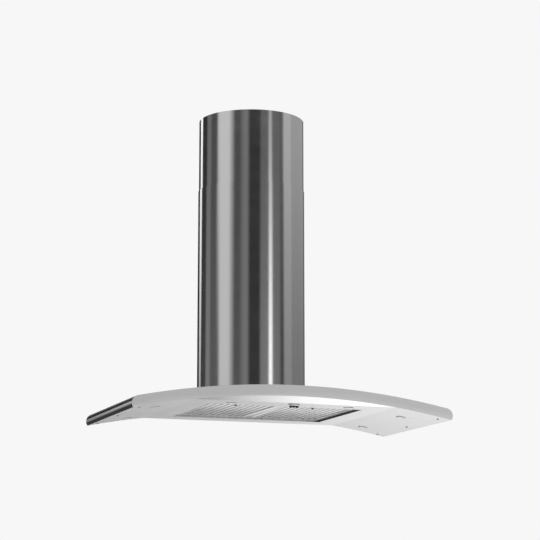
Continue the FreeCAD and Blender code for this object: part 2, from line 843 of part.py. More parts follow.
def filter_recess():
    """The raised walls round the filters, with the ledge above and slots for tongues and bolts."""
    half = size("recess_half_width")
    low = pan_high
    high = ledge_low + gauge
    ledge = size("ledge_width")
    length = recess_rear - recess_front
    blank = box("recess", (-half - gauge, recess_front - gauge, low),
                (2 * (half + gauge), length + 2 * gauge, high - low))
    tools = [
        box("well", (-half, recess_front, low), (2 * half, length, ledge_low - low)),
    ]
    window = half - ledge - size("divider_width") / 2
    for side in (-1, 1):
        left = size("divider_width") / 2 if side > 0 else ledge - half
        tools.append(box("window", (left, recess_front + ledge, low),
                         (window, length - 2 * ledge, high - low)))
    width, centres = filter_centres()
    tongue = size("tongue_width") + 2 * loose
    bolt = size("bolt_width") + 2 * loose
    bolt_low = filter_low + size("filter_gauge")
    for _, centre in centres:
        for side in (-1, 1):
            x = centre + side * size("tongue_span") - tongue / 2
            tools.append(box("tongue_slot", (x, recess_rear - loose, filter_low - loose),
                             (tongue, gauge + 2 * loose, size("filter_height") - size("filter_gauge"))))
        x = centre - size("latch_offset") - bolt / 2
        tools.append(box("bolt_slot", (x, recess_front - gauge - loose, bolt_low),
                         (bolt, gauge + 2 * loose, size("bolt_gauge") + 3 * loose)))
    return cut("filter_recess", blank, *tools)


def filter_frame(name, centre, width):
    """The rim of one filter: a hollow frame with lips, tongues behind and a slot for its knob."""
    rim = size("filter_gauge")
    height = size("filter_height")
    front_face = recess_front + size("filter_front_gap")
    length = recess_rear - size("filter_rear_gap") - front_face
    left = centre - width / 2
    side_lip = size("filter_side_lip")
    rear_lip = size("filter_rear_lip")
    front_lip = size("filter_front_lip")
    blank = box("rim", (left, front_face, filter_low), (width, length, height))
    latch_x = centre - size("latch_offset")
    bolt = size("bolt_width") + 2 * loose
    neck = size("knob_neck_radius") + loose
    tools = [
        box("channel", (left + rim, front_face + rim, filter_low + rim),
            (width - 2 * rim, length - 2 * rim, height - 2 * rim)),
        box("window", (left + side_lip, front_face + front_lip, filter_low),
            (width - 2 * side_lip, length - front_lip - rear_lip, height)),
        box("bolt_hole", (latch_x - bolt / 2, front_face - loose, filter_low + rim),
            (bolt, rim + 2 * loose, size("bolt_gauge") + 2 * loose)),
        box("knob_slot", (latch_x - neck, front_face + size("knob_back") - neck - size("latch_travel"),
                          filter_low - loose),
            (2 * neck, 2 * neck + size("latch_travel"), rim + 2 * loose)),
    ]
    frame = cut(f"filter_rim_{name}", blank, *tools)
    tongues = []
    for side in (-1, 1):
        x = centre + side * size("tongue_span") - size("tongue_width") / 2
        tongues.append(box("tongue", (x, recess_rear - size("filter_rear_gap") - rim, filter_low),
                           (size("tongue_width"),
                            rim + size("filter_rear_gap") + gauge + size("tongue_length"),
                            size("tongue_gauge"))))
    return fuse(f"filter_frame_{name}", frame, *tongues)


def baffles(label, middle, count, width, opens_up):
    """A row of channels that run front to rear and lie on the lips of a filter's rim."""
    body = new_body(label)
    rim = size("filter_gauge")
    lap = size("baffle_lap")
    first = recess_front + size("filter_front_gap") + size("filter_front_lip") - lap
    last = recess_rear - size("filter_rear_gap") - size("filter_rear_lip") + lap
    sketch = new_sketch(body, "XZ_Plane", -last)
    sheet_gauge = size("baffle_gauge")
    depth = size("baffle_depth")
    start = -(count - 1) * size("baffle_pitch") / 2
    left, right = start - width / 2, start + width / 2
    base = filter_low + rim if opens_up else filter_high - rim
    way = 1 if opens_up else -1
    outline(
        sketch,
        (left, base),
        (right, base),
        (right, base + way * depth),
        (right - sheet_gauge, base + way * depth),
        (right - sheet_gauge, base + way * sheet_gauge),
        (left + sheet_gauge, base + way * sheet_gauge),
        (left + sheet_gauge, base + way * depth),
        (left, base + way * depth),
        (left, base),
    )
    channel = pad(body, sketch, last - first)
    pattern = body.newObject("PartDesign::LinearPattern", f"{body.Name}Pattern")
    pattern.Originals = [channel]
    pattern.Direction = (sketch, ["H_Axis"])
    pattern.Mode = "Spacing"
    bind(pattern, "Offset", size("baffle_pitch"))
    bind(pattern, "Occurrences", count)
    body.Tip = pattern
    return place(body, middle)


def filter_latch(name, centre):
    """A sliding bolt with a round knob under it, drawn back to where the filter is free."""
    front_face = recess_front + size("filter_front_gap")
    x = centre - size("latch_offset")
    low = filter_low + size("filter_gauge") + loose
    thick = size("bolt_gauge")
    width = size("bolt_width")
    knob_y = front_face + size("knob_back")
    knob_low = pan_low + size("knob_clear")
    knob_high = filter_low - loose
    bolt = box("bolt", (x - width / 2, recess_front + loose, low), (width, size("bolt_length"), thick))
    knob = cylinder("knob", (x, knob_y, knob_low), size("knob_radius"), knob_high - knob_low)
    neck = cylinder("neck", (x, knob_y, knob_high - loose), size("knob_neck_radius"),
                    low - knob_high + 2 * loose)
    return fuse(f"filter_latch_{name}", bolt, knob, neck)


def filters():
    """Both filters, each with its rim, two rows of baffles and a latch."""
    pieces = []
    width, centres = filter_centres()
    slots = size("slot_count")
    for name, centre in centres:
        pieces.append(filter_frame(name, centre, width))
        pieces.append(baffles(f"lower_baffles_{name}", centre, slots - 1, size("baffle_width"), True))
        pieces.append(baffles(f"upper_baffles_{name}", centre, slots, size("upper_baffle_width"), False))
        pieces.append(filter_latch(name, centre))
    return pieces


# ------------------------------------------------------------------ the chimney

def chimney_outline(sketch, radius, rear):
    """A round cover, open along the wall, with a return at each side of the opening."""
    inner = radius - size("chimney_gauge")
    front_of_return = rear - size("chimney_gauge")
    outer_x = (radius.squared - (rear - axis_y).squared).root
    inner_x = (inner.squared - (front_of_return - axis_y).squared).root
    return_x = outer_x - size("cover_return")
    centre = (0, axis_y)
    outline(
        sketch,
        (outer_x, rear),
        (return_x, rear),
        (return_x, front_of_return),
        (inner_x, front_of_return),
        (-inner_x, front_of_return, centre, inner, -1),
        (-return_x, front_of_return),
        (-return_x, rear),
        (-outer_x, rear),
        (outer_x, rear, centre, radius, 1),
    )


def lower_rear():
    """Where the lower cover ends before the wall."""
    return -size("chimney_wall_gap")


def upper_radius():
    """Outer radius of the upper cover, which slides inside the lower one."""
    return size("chimney_radius") - size("chimney_gauge") - size("cover_gap")


def upper_rear():
    """Where the upper cover ends before the lower cover's returns."""
    return lower_rear() - size("chimney_gauge") - size("cover_gap")


def lower_cover():
    """The lower chimney cover, trimmed to the arch that it stands on."""
    body = new_body("lower_cover")
    foot = on_arc(size("chimney_radius"), arch, top_centre)
    sketch = new_sketch(body, "XY_Plane", foot)
    chimney_outline(sketch, size("chimney_radius"), lower_rear())
    pad(body, sketch, size("lower_cover_top") - foot)
    trim = new_sketch(body, "XZ_Plane")
    wide = size("chimney_radius") + gauge
    seated = arch + seat
    outline(
        trim,
        (-wide, foot - gauge),
        (wide, foot - gauge),
        (wide, on_arc(wide, seated, top_centre)),
        (-wide, on_arc(wide, seated, top_centre), (0, top_centre), seated, 1),
        (-wide, foot - gauge),
    )
    pocket_through(body, trim)
    return body


def upper_cover():
    """The upper chimney cover."""
    body = new_body("upper_cover")
    sketch = new_sketch(body, "XY_Plane", size("upper_cover_top") - size("upper_cover_length"))
    chimney_outline(sketch, upper_radius(), upper_rear())
    pad(body, sketch, size("upper_cover_length"))
    inner_face = upper_rear() - size("chimney_gauge")
    holes = new_sketch(body, "XZ_Plane", loose - inner_face)
    for side in (-1, 1):
        ring(holes, side * bracket_screw_x(), bracket_middle(), size("cover_screw_radius") + size("run_gap"))
    pocket = body.newObject("PartDesign::Pocket", f"{body.Name}Pocket")
    pocket.Profile = holes
    bind(pocket, "Length", size("chimney_gauge") + 2 * loose)
    return body


def bracket_outer_x():
    """Where the upper cover meets its returns, measured across the hood."""
    return (upper_radius().squared - (upper_rear() - axis_y).squared).root


def bracket_screw_x():
    """The middle of the upper cover's returns, where the bracket screws pass."""
    return bracket_outer_x() - size("cover_return") / 2


def bracket_middle():
    """Height of the middle of the ceiling bracket."""
    return size("upper_cover_top") - size("top_bracket_drop") - size("top_bracket_height") / 2


def top_bracket():
    """The bent strap that holds the upper cover's returns to the wall below the ceiling."""
    thick = size("top_bracket_gauge")
    face = upper_rear() - size("chimney_gauge")
    ear = bracket_outer_x() - 2 * size("chimney_gauge")
    step = bracket_outer_x() - size("cover_return") - loose
    body = new_body("top_bracket")
    sketch = new_sketch(body, "XY_Plane", bracket_middle())
    outline(
        sketch,
        (-step, 0),
        (step, 0),
        (step, face),
        (ear, face),
        (ear, face - thick),
        (step - thick, face - thick),
        (step - thick, -thick),
        (thick - step, -thick),
        (thick - step, face - thick),
        (-ear, face - thick),
        (-ear, face),
        (-step, face),
        (-step, 0),
    )
    pad(body, sketch, size("top_bracket_height"), both_ways=True)
    holes = new_sketch(body, "XZ_Plane")
    for side in (-1, 1):
        ring(holes, side * size("top_bracket_hole_span"), bracket_middle(), size("frame_hole_radius"))
        ring(holes, side * bracket_screw_x(), bracket_middle(), size("cover_screw_radius") + size("run_gap"))
    pocket_through(body, holes)
    return body


def bracket_screws():
    """The two screws that hold the upper cover's returns to the bracket."""
    face = upper_rear() - size("chimney_gauge") - size("top_bracket_gauge")
    head = size("cover_screw_head_height")
    length = head + size("top_bracket_gauge") + size("chimney_gauge") + loose
    screws = []
    for side in (-1, 1):
        start = (side * bracket_screw_x(), face - head, bracket_middle())
        screws.append(fuse(
            "bracket_screw",
            cylinder("head", start, size("cover_screw_head"), head, "y"),
            cylinder("shank", start, size("cover_screw_radius"), length, "y"),
        ))
    return gather("bracket_screws", *screws)


def foot_clips():
    """Two angles that hold the lower cover's foot to the top cover."""
    side_length = size("clip_side")
    width = size("clip_width")
    thick = size("rail_gauge")
    inner = size("chimney_radius") - size("chimney_gauge")
    reach = (inner.squared - (width / 2).squared).root - seat
    clips = []
    for side in (-1, 1):
        low = on_arc(reach, arch + seat, top_centre)
        inside = reach - side_length
        floor = on_arc(inside, arch + seat, top_centre)
        body = new_body("foot_clip")
        sketch = new_sketch(body, "XZ_Plane", -axis_y)
        outline(
            sketch,
            (side * inside, floor),
            (side * inside, floor + thick),
            (side * (reach - thick), low + thick),
            (side * (reach - thick), low + side_length),
            (side * reach, low + side_length),
            (side * reach, low),
            (side * inside, floor, (0, top_centre), arch + seat, side),
        )
        pad(body, sketch, width, both_ways=True)
        clips.append(body)
    return gather("foot_clips", *clips)


def lower_outer_x():
    """Where the lower cover meets its returns, measured across the hood."""
    return (size("chimney_radius").squared - (lower_rear() - axis_y).squared).root


def wall_frame():
    """The pressed frame on the wall that carries the blower."""
    half = lower_outer_x() - size("cover_return") - size("frame_side_gap")
    flange_x = half - size("frame_flange_inset")
    hole_x = half - size("frame_hole_inset")
    low = top_apex + seat
    thick = size("frame_gauge")
    height = size("frame_top") - low
    reach = -(axis_y + size("scroll_width") / 2)
    flange_height = mouth_height() - low
    web = box("web", (-half, -thick, low), (2 * half, thick, height))
    flanges = []
    for side in (-1, 1):
        x = flange_x if side > 0 else -flange_x - thick
        flanges.append(box("flange", (x, -reach, low), (thick, reach, flange_height)))
    holes = []
    for x in (-1, 1):
        for z in (size("frame_hole_low"), size("frame_hole_high")):
            place_of_hole = (x * hole_x, -2 * thick, z)
            holes.append(cylinder("hole", place_of_hole, size("frame_hole_radius"), 3 * thick, "y"))
    return cut("wall_frame", fuse("frame_blank", web, *flanges), *holes)


# ------------------------------------------------------------------- the blower

def impeller_x():
    """Place of the impeller's axis across the hood."""
    return -size("blower_shift")


def mouth_height():
    """Height of the blower housing's open mouth."""
    return size("blower_height") - size("scroll_growth") / 2 + size("scroll_start") + size("scroll_neck")


def spiral(sketch, wall):
    """A spiral of three quarter arcs and a straight mouth, drawn in by a wall."""
    step = size("scroll_growth")
    x, z = impeller_x(), size("blower_height")
    radii = [size("scroll_start") + quarter * step - wall for quarter in (0, 1, 2)]
    centres = [(x - step / 2, z - step / 2), (x + step / 2, z - step / 2), (x + step / 2, z + step / 2)]
    top = mouth_height()
    tongue_x = centres[0][0] + wall
    tongue_z = centres[0][1] + (radii[0].squared - Length.of(wall).squared).root
    left = (centres[0][0] - radii[0], centres[0][1])
    bottom = (centres[1][0], centres[1][1] - radii[1])
    right = (centres[2][0] + radii[2], centres[2][1])
    outline(
        sketch,
        (tongue_x, tongue_z),
        (*left, centres[0], radii[0], 1),
        (*bottom, centres[1], radii[1], 1),
        (*right, centres[2], radii[2], 1),
        (right[0], top),
        (tongue_x, top),
        (tongue_x, tongue_z),
    )


def scroll_half(label, side):
    """One half of the blower housing, with its inlet, parted at the middle."""
    body = new_body(label)
    half = size("scroll_width") / 2
    wall = size("scroll_wall")
    near = -axis_y if side < 0 else -axis_y - half
    solid = new_sketch(body, "XZ_Plane", near)
    spiral(solid, Length.of(0))
    pad(body, solid, half)
    hollow = new_sketch(body, "XZ_Plane", near if side < 0 else near + wall)
    spiral(hollow, wall)
    cavity = body.newObject("PartDesign::Pocket", f"{body.Name}Pocket")
    cavity.Profile = hollow
    cavity.Reversed = True
    bind(cavity, "Length", half - wall)
    inlet = new_sketch(body, "XZ_Plane")
    ring(inlet, impeller_x(), size("blower_height"), size("inlet_radius"))
    pocket_through(body, inlet)
    return body


def impeller():
    """A double-inlet fan wheel with forward-leaning blades on a middle disc."""
    body = new_body("impeller")
    width = size("impeller_width")
    outer = size("impeller_radius")
    inner = size("impeller_inner")
    disc = new_sketch(body, "XZ_Plane")
    ring(disc, 0, 0, outer - size("impeller_ring"))
    ring(disc, 0, 0, size("shaft_radius") + size("run_gap"))
    pad(body, disc, size("impeller_disc"), both_ways=True)
    hub = new_sketch(body, "XZ_Plane")
    ring(hub, 0, 0, size("hub_radius"))
    ring(hub, 0, 0, size("shaft_radius") + size("run_gap"))
    pad(body, hub, size("hub_length"), both_ways=True)
    blade = new_sketch(body, "XZ_Plane")
    lead = size("blade_lean")
    thick = size("blade_gauge")
    outline(blade, (inner, -thick), (inner, 0), (outer - lead, lead), (outer - lead, lead - thick),
            (inner, -thick))
    blade_pad = pad(body, blade, width, both_ways=True)
    pattern = body.newObject("PartDesign::PolarPattern", f"{body.Name}Pattern")
    pattern.Originals = [blade_pad]
    pattern.Axis = (blade, ["N_Axis"])
    pattern.Angle = 360
    bind(pattern, "Occurrences", size("blade_count"))
    body.Tip = pattern
    for side in (-1, 1):
        offset = width / 2 - size("impeller_ring") if side > 0 else -width / 2
        end_ring = new_sketch(body, "XZ_Plane", offset)
        ring(end_ring, 0, 0, outer)
        ring(end_ring, 0, 0, inner)
        pad(body, end_ring, size("impeller_ring"))
    return place(body, impeller_x(), axis_y, size("blower_height"))


def motor_pieces():
    """The motor behind the impeller's disc, its shaft and the three arms that hold it."""
    x, z = impeller_x(), size("blower_height")
    start = axis_y + size("hub_length") / 2 + size("motor_gap")
    end = start + size("motor_length")
    cheek = axis_y + size("scroll_width") / 2
    bore = size("shaft_radius") + size("run_gap")
    motor = cut("motor",
                cylinder("can", (x, start, z), size("motor_radius"), size("motor_length"), "y"),
                cylinder("bore", (x, start - loose, z), bore, size("motor_length") + 2 * loose, "y"))
    shaft_start = axis_y - size("hub_length")
    shaft = cylinder("motor_shaft", (x, shaft_start, z), size("shaft_radius"), end - shaft_start - loose, "y")
    thick = size("arm_gauge")
    plate = cheek + seat
    arms = [cylinder("boss", (x, end, z), size("arm_boss_radius"), plate + thick - end, "y")]
    for turn in (0, 120, 240):
        arm = box("arm", (x, plate, z), (size("arm_width"), thick, size("arm_reach")))
        rotation = Rotation(Vector(0, 1, 0), turn)
        corner = rotation.multVec(Vector(-float(sheet.arm_width) / 2, 0, 0))
        arm.Placement = Placement(Vector(), rotation)
        place(arm, x + corner.x, plate, z + corner.z)
        arms.append(arm)
    return [motor, shaft, fuse("motor_arms", *arms)]


def collar_foot():
    """Height of the duct collar's foot."""
    return mouth_height() + seat + size("adapter_height")


def outlet_adapter():
    """The moulded outlet: a flat box on the blower's mouth that grows into the round duct collar."""
    half = size("adapter_half_width")
    depth = size("scroll_width")
    wall = size("adapter_wall")
    low = mouth_height() + seat
    height = size("adapter_height")
    step = size("scroll_growth")
    mouth_left = impeller_x() - step / 2 + size("scroll_wall")
    mouth_right = impeller_x() + step / 2 + size("scroll_start") + 2 * step - size("scroll_wall")
    outer = size("collar_radius")
    bore = outer - size("collar_wall")
    blank = fuse(
        "outlet_blank",
        box("adapter", (-half, axis_y - depth / 2, low), (2 * half, depth, height)),
        cylinder("collar", (0, axis_y, collar_foot()), outer, size("collar_height")),
    )
    inside = box("inside", (wall - half, axis_y - depth / 2 + wall, low + wall),
                 (2 * (half - wall), depth - 2 * wall, height - 2 * wall))
    mouth = box("mouth", (mouth_left, axis_y - depth / 2 + size("scroll_wall"), low - wall),
                (mouth_right - mouth_left, depth - 2 * size("scroll_wall"), 3 * wall))
    passage = cylinder("passage", (0, axis_y, collar_foot() - 2 * wall), bore,
                       size("collar_height") + 3 * wall)
    pin_hole = cylinder("pin_hole", (0, axis_y - 2 * outer, collar_foot() + size("flap_rise")),
                        size("flap_pin_radius") + size("run_gap"), 4 * outer, "y")
    return cut("outlet_adapter", blank, inside, mouth, passage, pin_hole)


def flap_reach():
    """Radius of the damper flaps."""
    return size("collar_radius") - size("collar_wall") - size("flap_gap")


def damper_flap(name, side):
    """One half-round flap that hangs on its half of the pin by a long knuckle."""
    reach = flap_reach()
    height = collar_foot() + size("flap_rise")
    gauge_half = size("flap_gauge") / 2
    knuckle = size("knuckle_radius")
    disc = cylinder("disc", (0, axis_y, height - gauge_half), reach, size("flap_gauge"))
    seam = size("flap_seam")
    left = seam if side > 0 else -reach
    half_disc = document.addObject("Part::MultiCommon", "Common")
    half_disc.Shapes = [
        disc,
        box("half", (left, axis_y - reach, height - knuckle), (reach - seam, 2 * reach, 2 * knuckle)),
    ]
    own, other = (axis_y - reach, axis_y) if side < 0 else (axis_y, axis_y - reach)
    gap = cylinder("gap", (0, other - loose, height), knuckle + loose, reach + 2 * loose, "y")
    hanger = cylinder("knuckle", (0, own + loose, height), knuckle, reach - 2 * loose, "y")
    joined = fuse(f"flap_joined_{name}", cut(f"flap_plate_{name}", half_disc, gap), hanger)
    pin = cylinder("pin_bore", (0, axis_y - 2 * reach, height), size("flap_pin_radius") + size("run_gap"),
                   4 * reach, "y")
    return cut(f"damper_flap_{name}", joined, pin)


def flap_pin():
    """The pin across the collar that both flaps turn on."""
    reach = size("collar_radius") - size("run_gap")
    height = collar_foot() + size("flap_rise")
    return cylinder("flap_pin", (0, axis_y - reach, height), size("flap_pin_radius"), 2 * reach, "y")


# --------------------------------------------------------- the electrical pieces

def terminal_box():
    """The closed box on the wall frame where the supply is joined."""
    width = size("terminal_width")
    return box("terminal_box",
               (-width / 2, -size("frame_gauge") - size("terminal_depth"), size("terminal_rise")),
               (width, size("terminal_depth"), size("terminal_height")))


def cable_gland():
    """The gland on top of the terminal box."""
    y = -size("frame_gauge") - size("terminal_depth") / 2
    top = size("terminal_rise") + size("terminal_height")
    return cut("cable_gland",
               cylinder("gland", (0, y, top), size("gland_radius"), size("gland_height")),
               cylinder("bore", (0, y, top), size("gland_bore"), size("gland_height")))


def lamp_driver():
    """The lamps' driver, on the flat pan beside the recess."""
    width = size("driver_width")
    length = size("driver_length")
    return box("lamp_driver", (size("driver_span") - width / 2, -size("driver_back") - length, pan_high),
               (width, length, size("driver_height")))


# --------------------------------------------------------------------- the model

def build_parts():
    """Every sub-part of the hood."""
    parts = [top_cover(), front_fascia(), front_filler(), rear_panel(), centre_pan()]
    for name, side in (("left", -1), ("right", 1)):
        parts.append(wing_panel(f"wing_panel_{name}", side))
        parts.append(end_rail(f"end_rail_{name}", side))
    parts.append(wing_screws())
    parts += [*lamps(), control_pod(), control_board(), *buttons()]
    parts += [filter_recess(), *filters()]
    parts += [lower_cover(), upper_cover(), top_bracket(), bracket_screws(), foot_clips(), wall_frame()]
    parts += [scroll_half("scroll_front", -1), scroll_half("scroll_rear", 1), impeller(), *motor_pieces()]
    parts += [outlet_adapter(), flap_pin()]
    parts += [damper_flap("left", -1), damper_flap("right", 1)]
    parts += [terminal_box(), cable_gland(), lamp_driver()]
    return parts


def check_document():
    """Stop if any object of the document failed to recompute."""
    failed = [item.Label for item in document.Objects if {"Invalid", "Error"} & set(item.State)]
    if failed:
        raise RuntimeError(f"objects that failed: {failed}")


def export(parts):
    """Check each sub-part's shape and write it under its own name."""
    os.makedirs("parts", exist_ok=True)
    for part in parts:
        shape = part.Shape
        if shape.isNull() or not shape.isValid() or not shape.Solids:
            raise RuntimeError(f"{part.Label} has no sound solid")
    for part in parts:
        part.Shape.exportStep(f"parts/{part.Label}.step")


hood = build_parts()
document.recompute()
check_document()
export(hood)
print(f"{len(hood)} sub-parts")
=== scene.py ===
"""Looks of the curved wall hood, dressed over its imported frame.

Metres, in the frame's own axes: +Z up, the wall at y = 0 and the front towards -Y.
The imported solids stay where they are.  Each gets a finish, and the small pieces
that a closer look would miss are modelled here and ride on the same bodies.
"""
import json
import logging
import math
from dataclasses import dataclass, field
from enum import Enum
from typing import Callable, Sequence

import bmesh
import bpy
from mathutils import Matrix, Vector


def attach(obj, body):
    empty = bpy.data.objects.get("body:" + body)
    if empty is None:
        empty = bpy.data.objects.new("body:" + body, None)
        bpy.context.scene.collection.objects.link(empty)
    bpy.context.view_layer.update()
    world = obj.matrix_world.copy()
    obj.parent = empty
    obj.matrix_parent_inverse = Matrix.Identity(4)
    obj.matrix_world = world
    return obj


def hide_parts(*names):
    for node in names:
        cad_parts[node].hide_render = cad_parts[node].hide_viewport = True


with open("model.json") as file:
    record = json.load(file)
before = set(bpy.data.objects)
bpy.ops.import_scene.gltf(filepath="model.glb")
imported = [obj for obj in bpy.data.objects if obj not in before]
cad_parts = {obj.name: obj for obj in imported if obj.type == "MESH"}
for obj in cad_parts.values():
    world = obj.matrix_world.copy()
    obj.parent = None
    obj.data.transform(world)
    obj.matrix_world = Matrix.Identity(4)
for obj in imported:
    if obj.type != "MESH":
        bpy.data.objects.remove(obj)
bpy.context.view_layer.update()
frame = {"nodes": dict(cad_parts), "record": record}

MM = 0.001

log = logging.getLogger("hood")


# ------------------------------------------------------------------ shader maths

class Signal:
    """An output socket that can be used in plain arithmetic."""

    def __init__(self, graph: "Graph", socket: bpy.types.NodeSocket) -> None:
        """Keep the graph that the socket belongs to."""
        self.graph = graph
        self.socket = socket

    def _math(self, operation: str, first: object, second: object) -> "Signal":
        """Add one Math node.

        Args:
            operation: the node's operation.
            first: its first operand.
            second: its second operand.

        Returns:
            The node's value.
        """
        return self.graph.node("ShaderNodeMath", {"operation": operation}, {0: first, 1: second})

    def __add__(self, other: object) -> "Signal":
        """Add."""
        return self._math("ADD", self, other)

    def __radd__(self, other: object) -> "Signal":
        """Add to a number."""
        return self._math("ADD", other, self)

    def __sub__(self, other: object) -> "Signal":
        """Subtract."""
        return self._math("SUBTRACT", self, other)

    def __rsub__(self, other: object) -> "Signal":
        """Subtract from a number."""
        return self._math("SUBTRACT", other, self)

    def __mul__(self, other: object) -> "Signal":
        """Multiply."""
        return self._math("MULTIPLY", self, other)

    def __rmul__(self, other: object) -> "Signal":
        """Multiply a number."""
        return self._math("MULTIPLY", other, self)

    def __truediv__(self, other: object) -> "Signal":
        """Divide."""
        return self._math("DIVIDE", self, other)

    def clamped(self) -> "Signal":
        """Keep between 0 and 1."""
        return self.graph.node("ShaderNodeClamp", {}, {"Value": self})


class Graph:
    """A node tree that is being wired."""

    def __init__(self, tree: bpy.types.NodeTree) -> None:
        """Start from an empty tree."""
        self.tree = tree
        tree.nodes.clear()

    def node(
        self,
        kind: str,
        settings: dict[str, object] | None = None,
        sockets: dict[object, object] | None = None,
        output: str | int = 0,
    ) -> Signal:
        """Add a node.

        Args:
            kind: the node's type.
            settings: properties, set first, with a ramp's stops under "stops".
            sockets: a number, a colour or a Signal for each input that is used.
            output: the output that is wanted.

        Returns:
            That output.
        """
        made = self.tree.nodes.new(kind)
        for name, value in (settings or {}).items():
            if name == "stops":
                self._set_stops(made.color_ramp, value)
            else:
                setattr(made, name, value)
        for name, value in (sockets or {}).items():
            if isinstance(value, Signal):
                self.tree.links.new(value.socket, made.inputs[name])
            else:
                made.inputs[name].default_value = value
        return Signal(self, made.outputs[output] if made.outputs else made.inputs[0])

    @staticmethod
    def _set_stops(ramp: bpy.types.ColorRamp, stops: Sequence[tuple[float, float]]) -> None:
        """Give a ramp grey stops.

        Args:
            ramp: the ramp.
            stops: pairs of position and grey, in rising order.
        """
        for position, grey in stops[1:-1]:
            ramp.elements.new(position).color = (grey, grey, grey, 1.0)
        for element, (position, grey) in ((ramp.elements[0], stops[0]), (ramp.elements[-1], stops[-1])):
            element.position = position
            element.color = (grey, grey, grey, 1.0)

    def place(self, stretch: Sequence[float] = (1.0, 1.0, 1.0)) -> Signal:
        """The point of the surface in the object's own metres, scaled along each axis."""
        point = self.node("ShaderNodeTexCoord", output="Object")
        return self.node("ShaderNodeMapping", {}, {"Vector": point, "Scale": tuple(stretch)})

    def noise(self, scale: float, detail: float = 2.0, stretch: Sequence[float] = (1, 1, 1)) -> Signal:
        """Cloudy noise between 0 and 1.

        Args:
            scale: spots to a metre.
            detail: octaves.
            stretch: factor along each axis.

        Returns:
            The noise.
        """
        sockets = {"Vector": self.place(stretch), "Scale": scale, "Detail": detail}
        return self.node("ShaderNodeTexNoise", {}, sockets)

    def blend(self, low: Sequence[float], high: Sequence[float], share: Signal) -> Signal:
        """A colour between two others.

        Args:
            low: the colour where share is 0.
            high: the colour where share is 1.
            share: what mixes them.

        Returns:
            The colour.
        """
        sockets = {0: share, 6: (*low, 1.0), 7: (*high, 1.0)}
        return self.node("ShaderNodeMix", {"data_type": "RGBA"}, sockets, output=2)

    def ramp(self, share: Signal, stops: Sequence[tuple[float, float]]) -> Signal:
        """A grey read off a ramp."""
        return self.node("ShaderNodeValToRGB", {"stops": stops}, {"Fac": share})

    def between(self, low: Signal, high: Signal | float, share: Signal) -> Signal:
        """A number between two others, low where share is 0 and high where it is 1."""
        return low + (high - low) * share

    def relief(self, height: Signal, depth: float) -> Signal:
        """A normal bumped by a relief of that depth in metres."""
        return self.node("ShaderNodeBump", {}, {"Height": height, "Distance": depth})


def grey(level: float) -> tuple[float, float, float]:
    """A neutral colour."""
    return (level, level, level)


def tinted(colour: Sequence[float], factor: float) -> tuple[float, float, float]:
    """A colour made lighter or darker by a factor."""
    return tuple(min(1.0, part * factor) for part in colour)


# ---------------------------------------------------------------------- finishes

@dataclass(frozen=True)
class Finish:
    """What every finish has: a name, a colour and a roughness."""

    name: str
    colour: tuple[float, float, float]
    roughness: float

    def sockets(self, graph: Graph) -> dict[object, object]:
        """The shader's inputs.

        Args:
            graph: the material's graph.

        Returns:
            A number or a Signal for each input that isn't left at its default.
        """
        raise NotImplementedError

    def material(self) -> bpy.types.Material:
        """Make the material, or find it if it has been made.

        Returns:
            The material.
        """
        name = f"finish_{self.name}"
        if name in bpy.data.materials:
            return bpy.data.materials[name]
        made = bpy.data.materials.new(name)
        made.use_nodes = True
        graph = Graph(made.node_tree)
        shader = graph.node("ShaderNodeBsdfPrincipled", {}, self.sockets(graph))
        graph.node("ShaderNodeOutputMaterial", {}, {"Surface": shader})
        return made


@dataclass(frozen=True)
class SheetSteel(Finish):
    """Rolled sheet with a fine grain, faint handling marks and slight waves."""

    metallic: float = 1.0
    grain: tuple[float, float, float] = (0.02, 1.0, 1.0)
    grain_depth: float = 0.000004
    wave_depth: float = 0.0

    def sockets(self, graph: Graph) -> dict[object, object]:
        """Grain in the roughness and the relief, soft clouds in the colour.

        Args:
            graph: the material's graph.

        Returns:
            The shader's inputs.
        """
        lines = graph.noise(2600.0, 3.0, self.grain)
        clouds = graph.noise(7.0, 4.0)
        smears = graph.noise(38.0, 3.0, (0.4, 1.0, 1.0))
        height = lines
        if self.wave_depth:
            height = lines + graph.noise(5.0, 0.0, (1.0, 1.0, 0.12)) * (self.wave_depth / self.grain_depth)
        return {
            "Base Color": graph.blend(tinted(self.colour, 0.965), tinted(self.colour, 1.03), clouds),
            "Roughness": (lines - 0.5) * 0.10 + (smears - 0.5) * 0.08 + self.roughness,
            "Metallic": self.metallic,
            "Normal": graph.relief(height, self.grain_depth),
        }


@dataclass(frozen=True)
class ZincSheet(Finish):
    """Zinc-coated sheet with its crystal pattern."""

    crystal: float = 90.0

    def sockets(self, graph: Graph) -> dict[object, object]:
        """Crystals of slightly different grey and gloss.

        Args:
            graph: the material's graph.

        Returns:
            The shader's inputs.
        """
        cells = {"Vector": graph.place(), "Scale": self.crystal, "Randomness": 1.0}
        tone = graph.node("ShaderNodeTexVoronoi", {"feature": "F1"}, cells, output="Color")
        level = graph.node("ShaderNodeSeparateColor", {}, {"Color": tone})
        clouds = graph.noise(30.0, 5.0)
        share = level * 0.6 + clouds * 0.4
        return {
            "Base Color": graph.blend(tinted(self.colour, 0.86), tinted(self.colour, 1.12), share),
            "Roughness": share * 0.18 + (self.roughness - 0.09),
            "Metallic": 0.9,
            "Normal": graph.relief(clouds, 0.00002),
        }


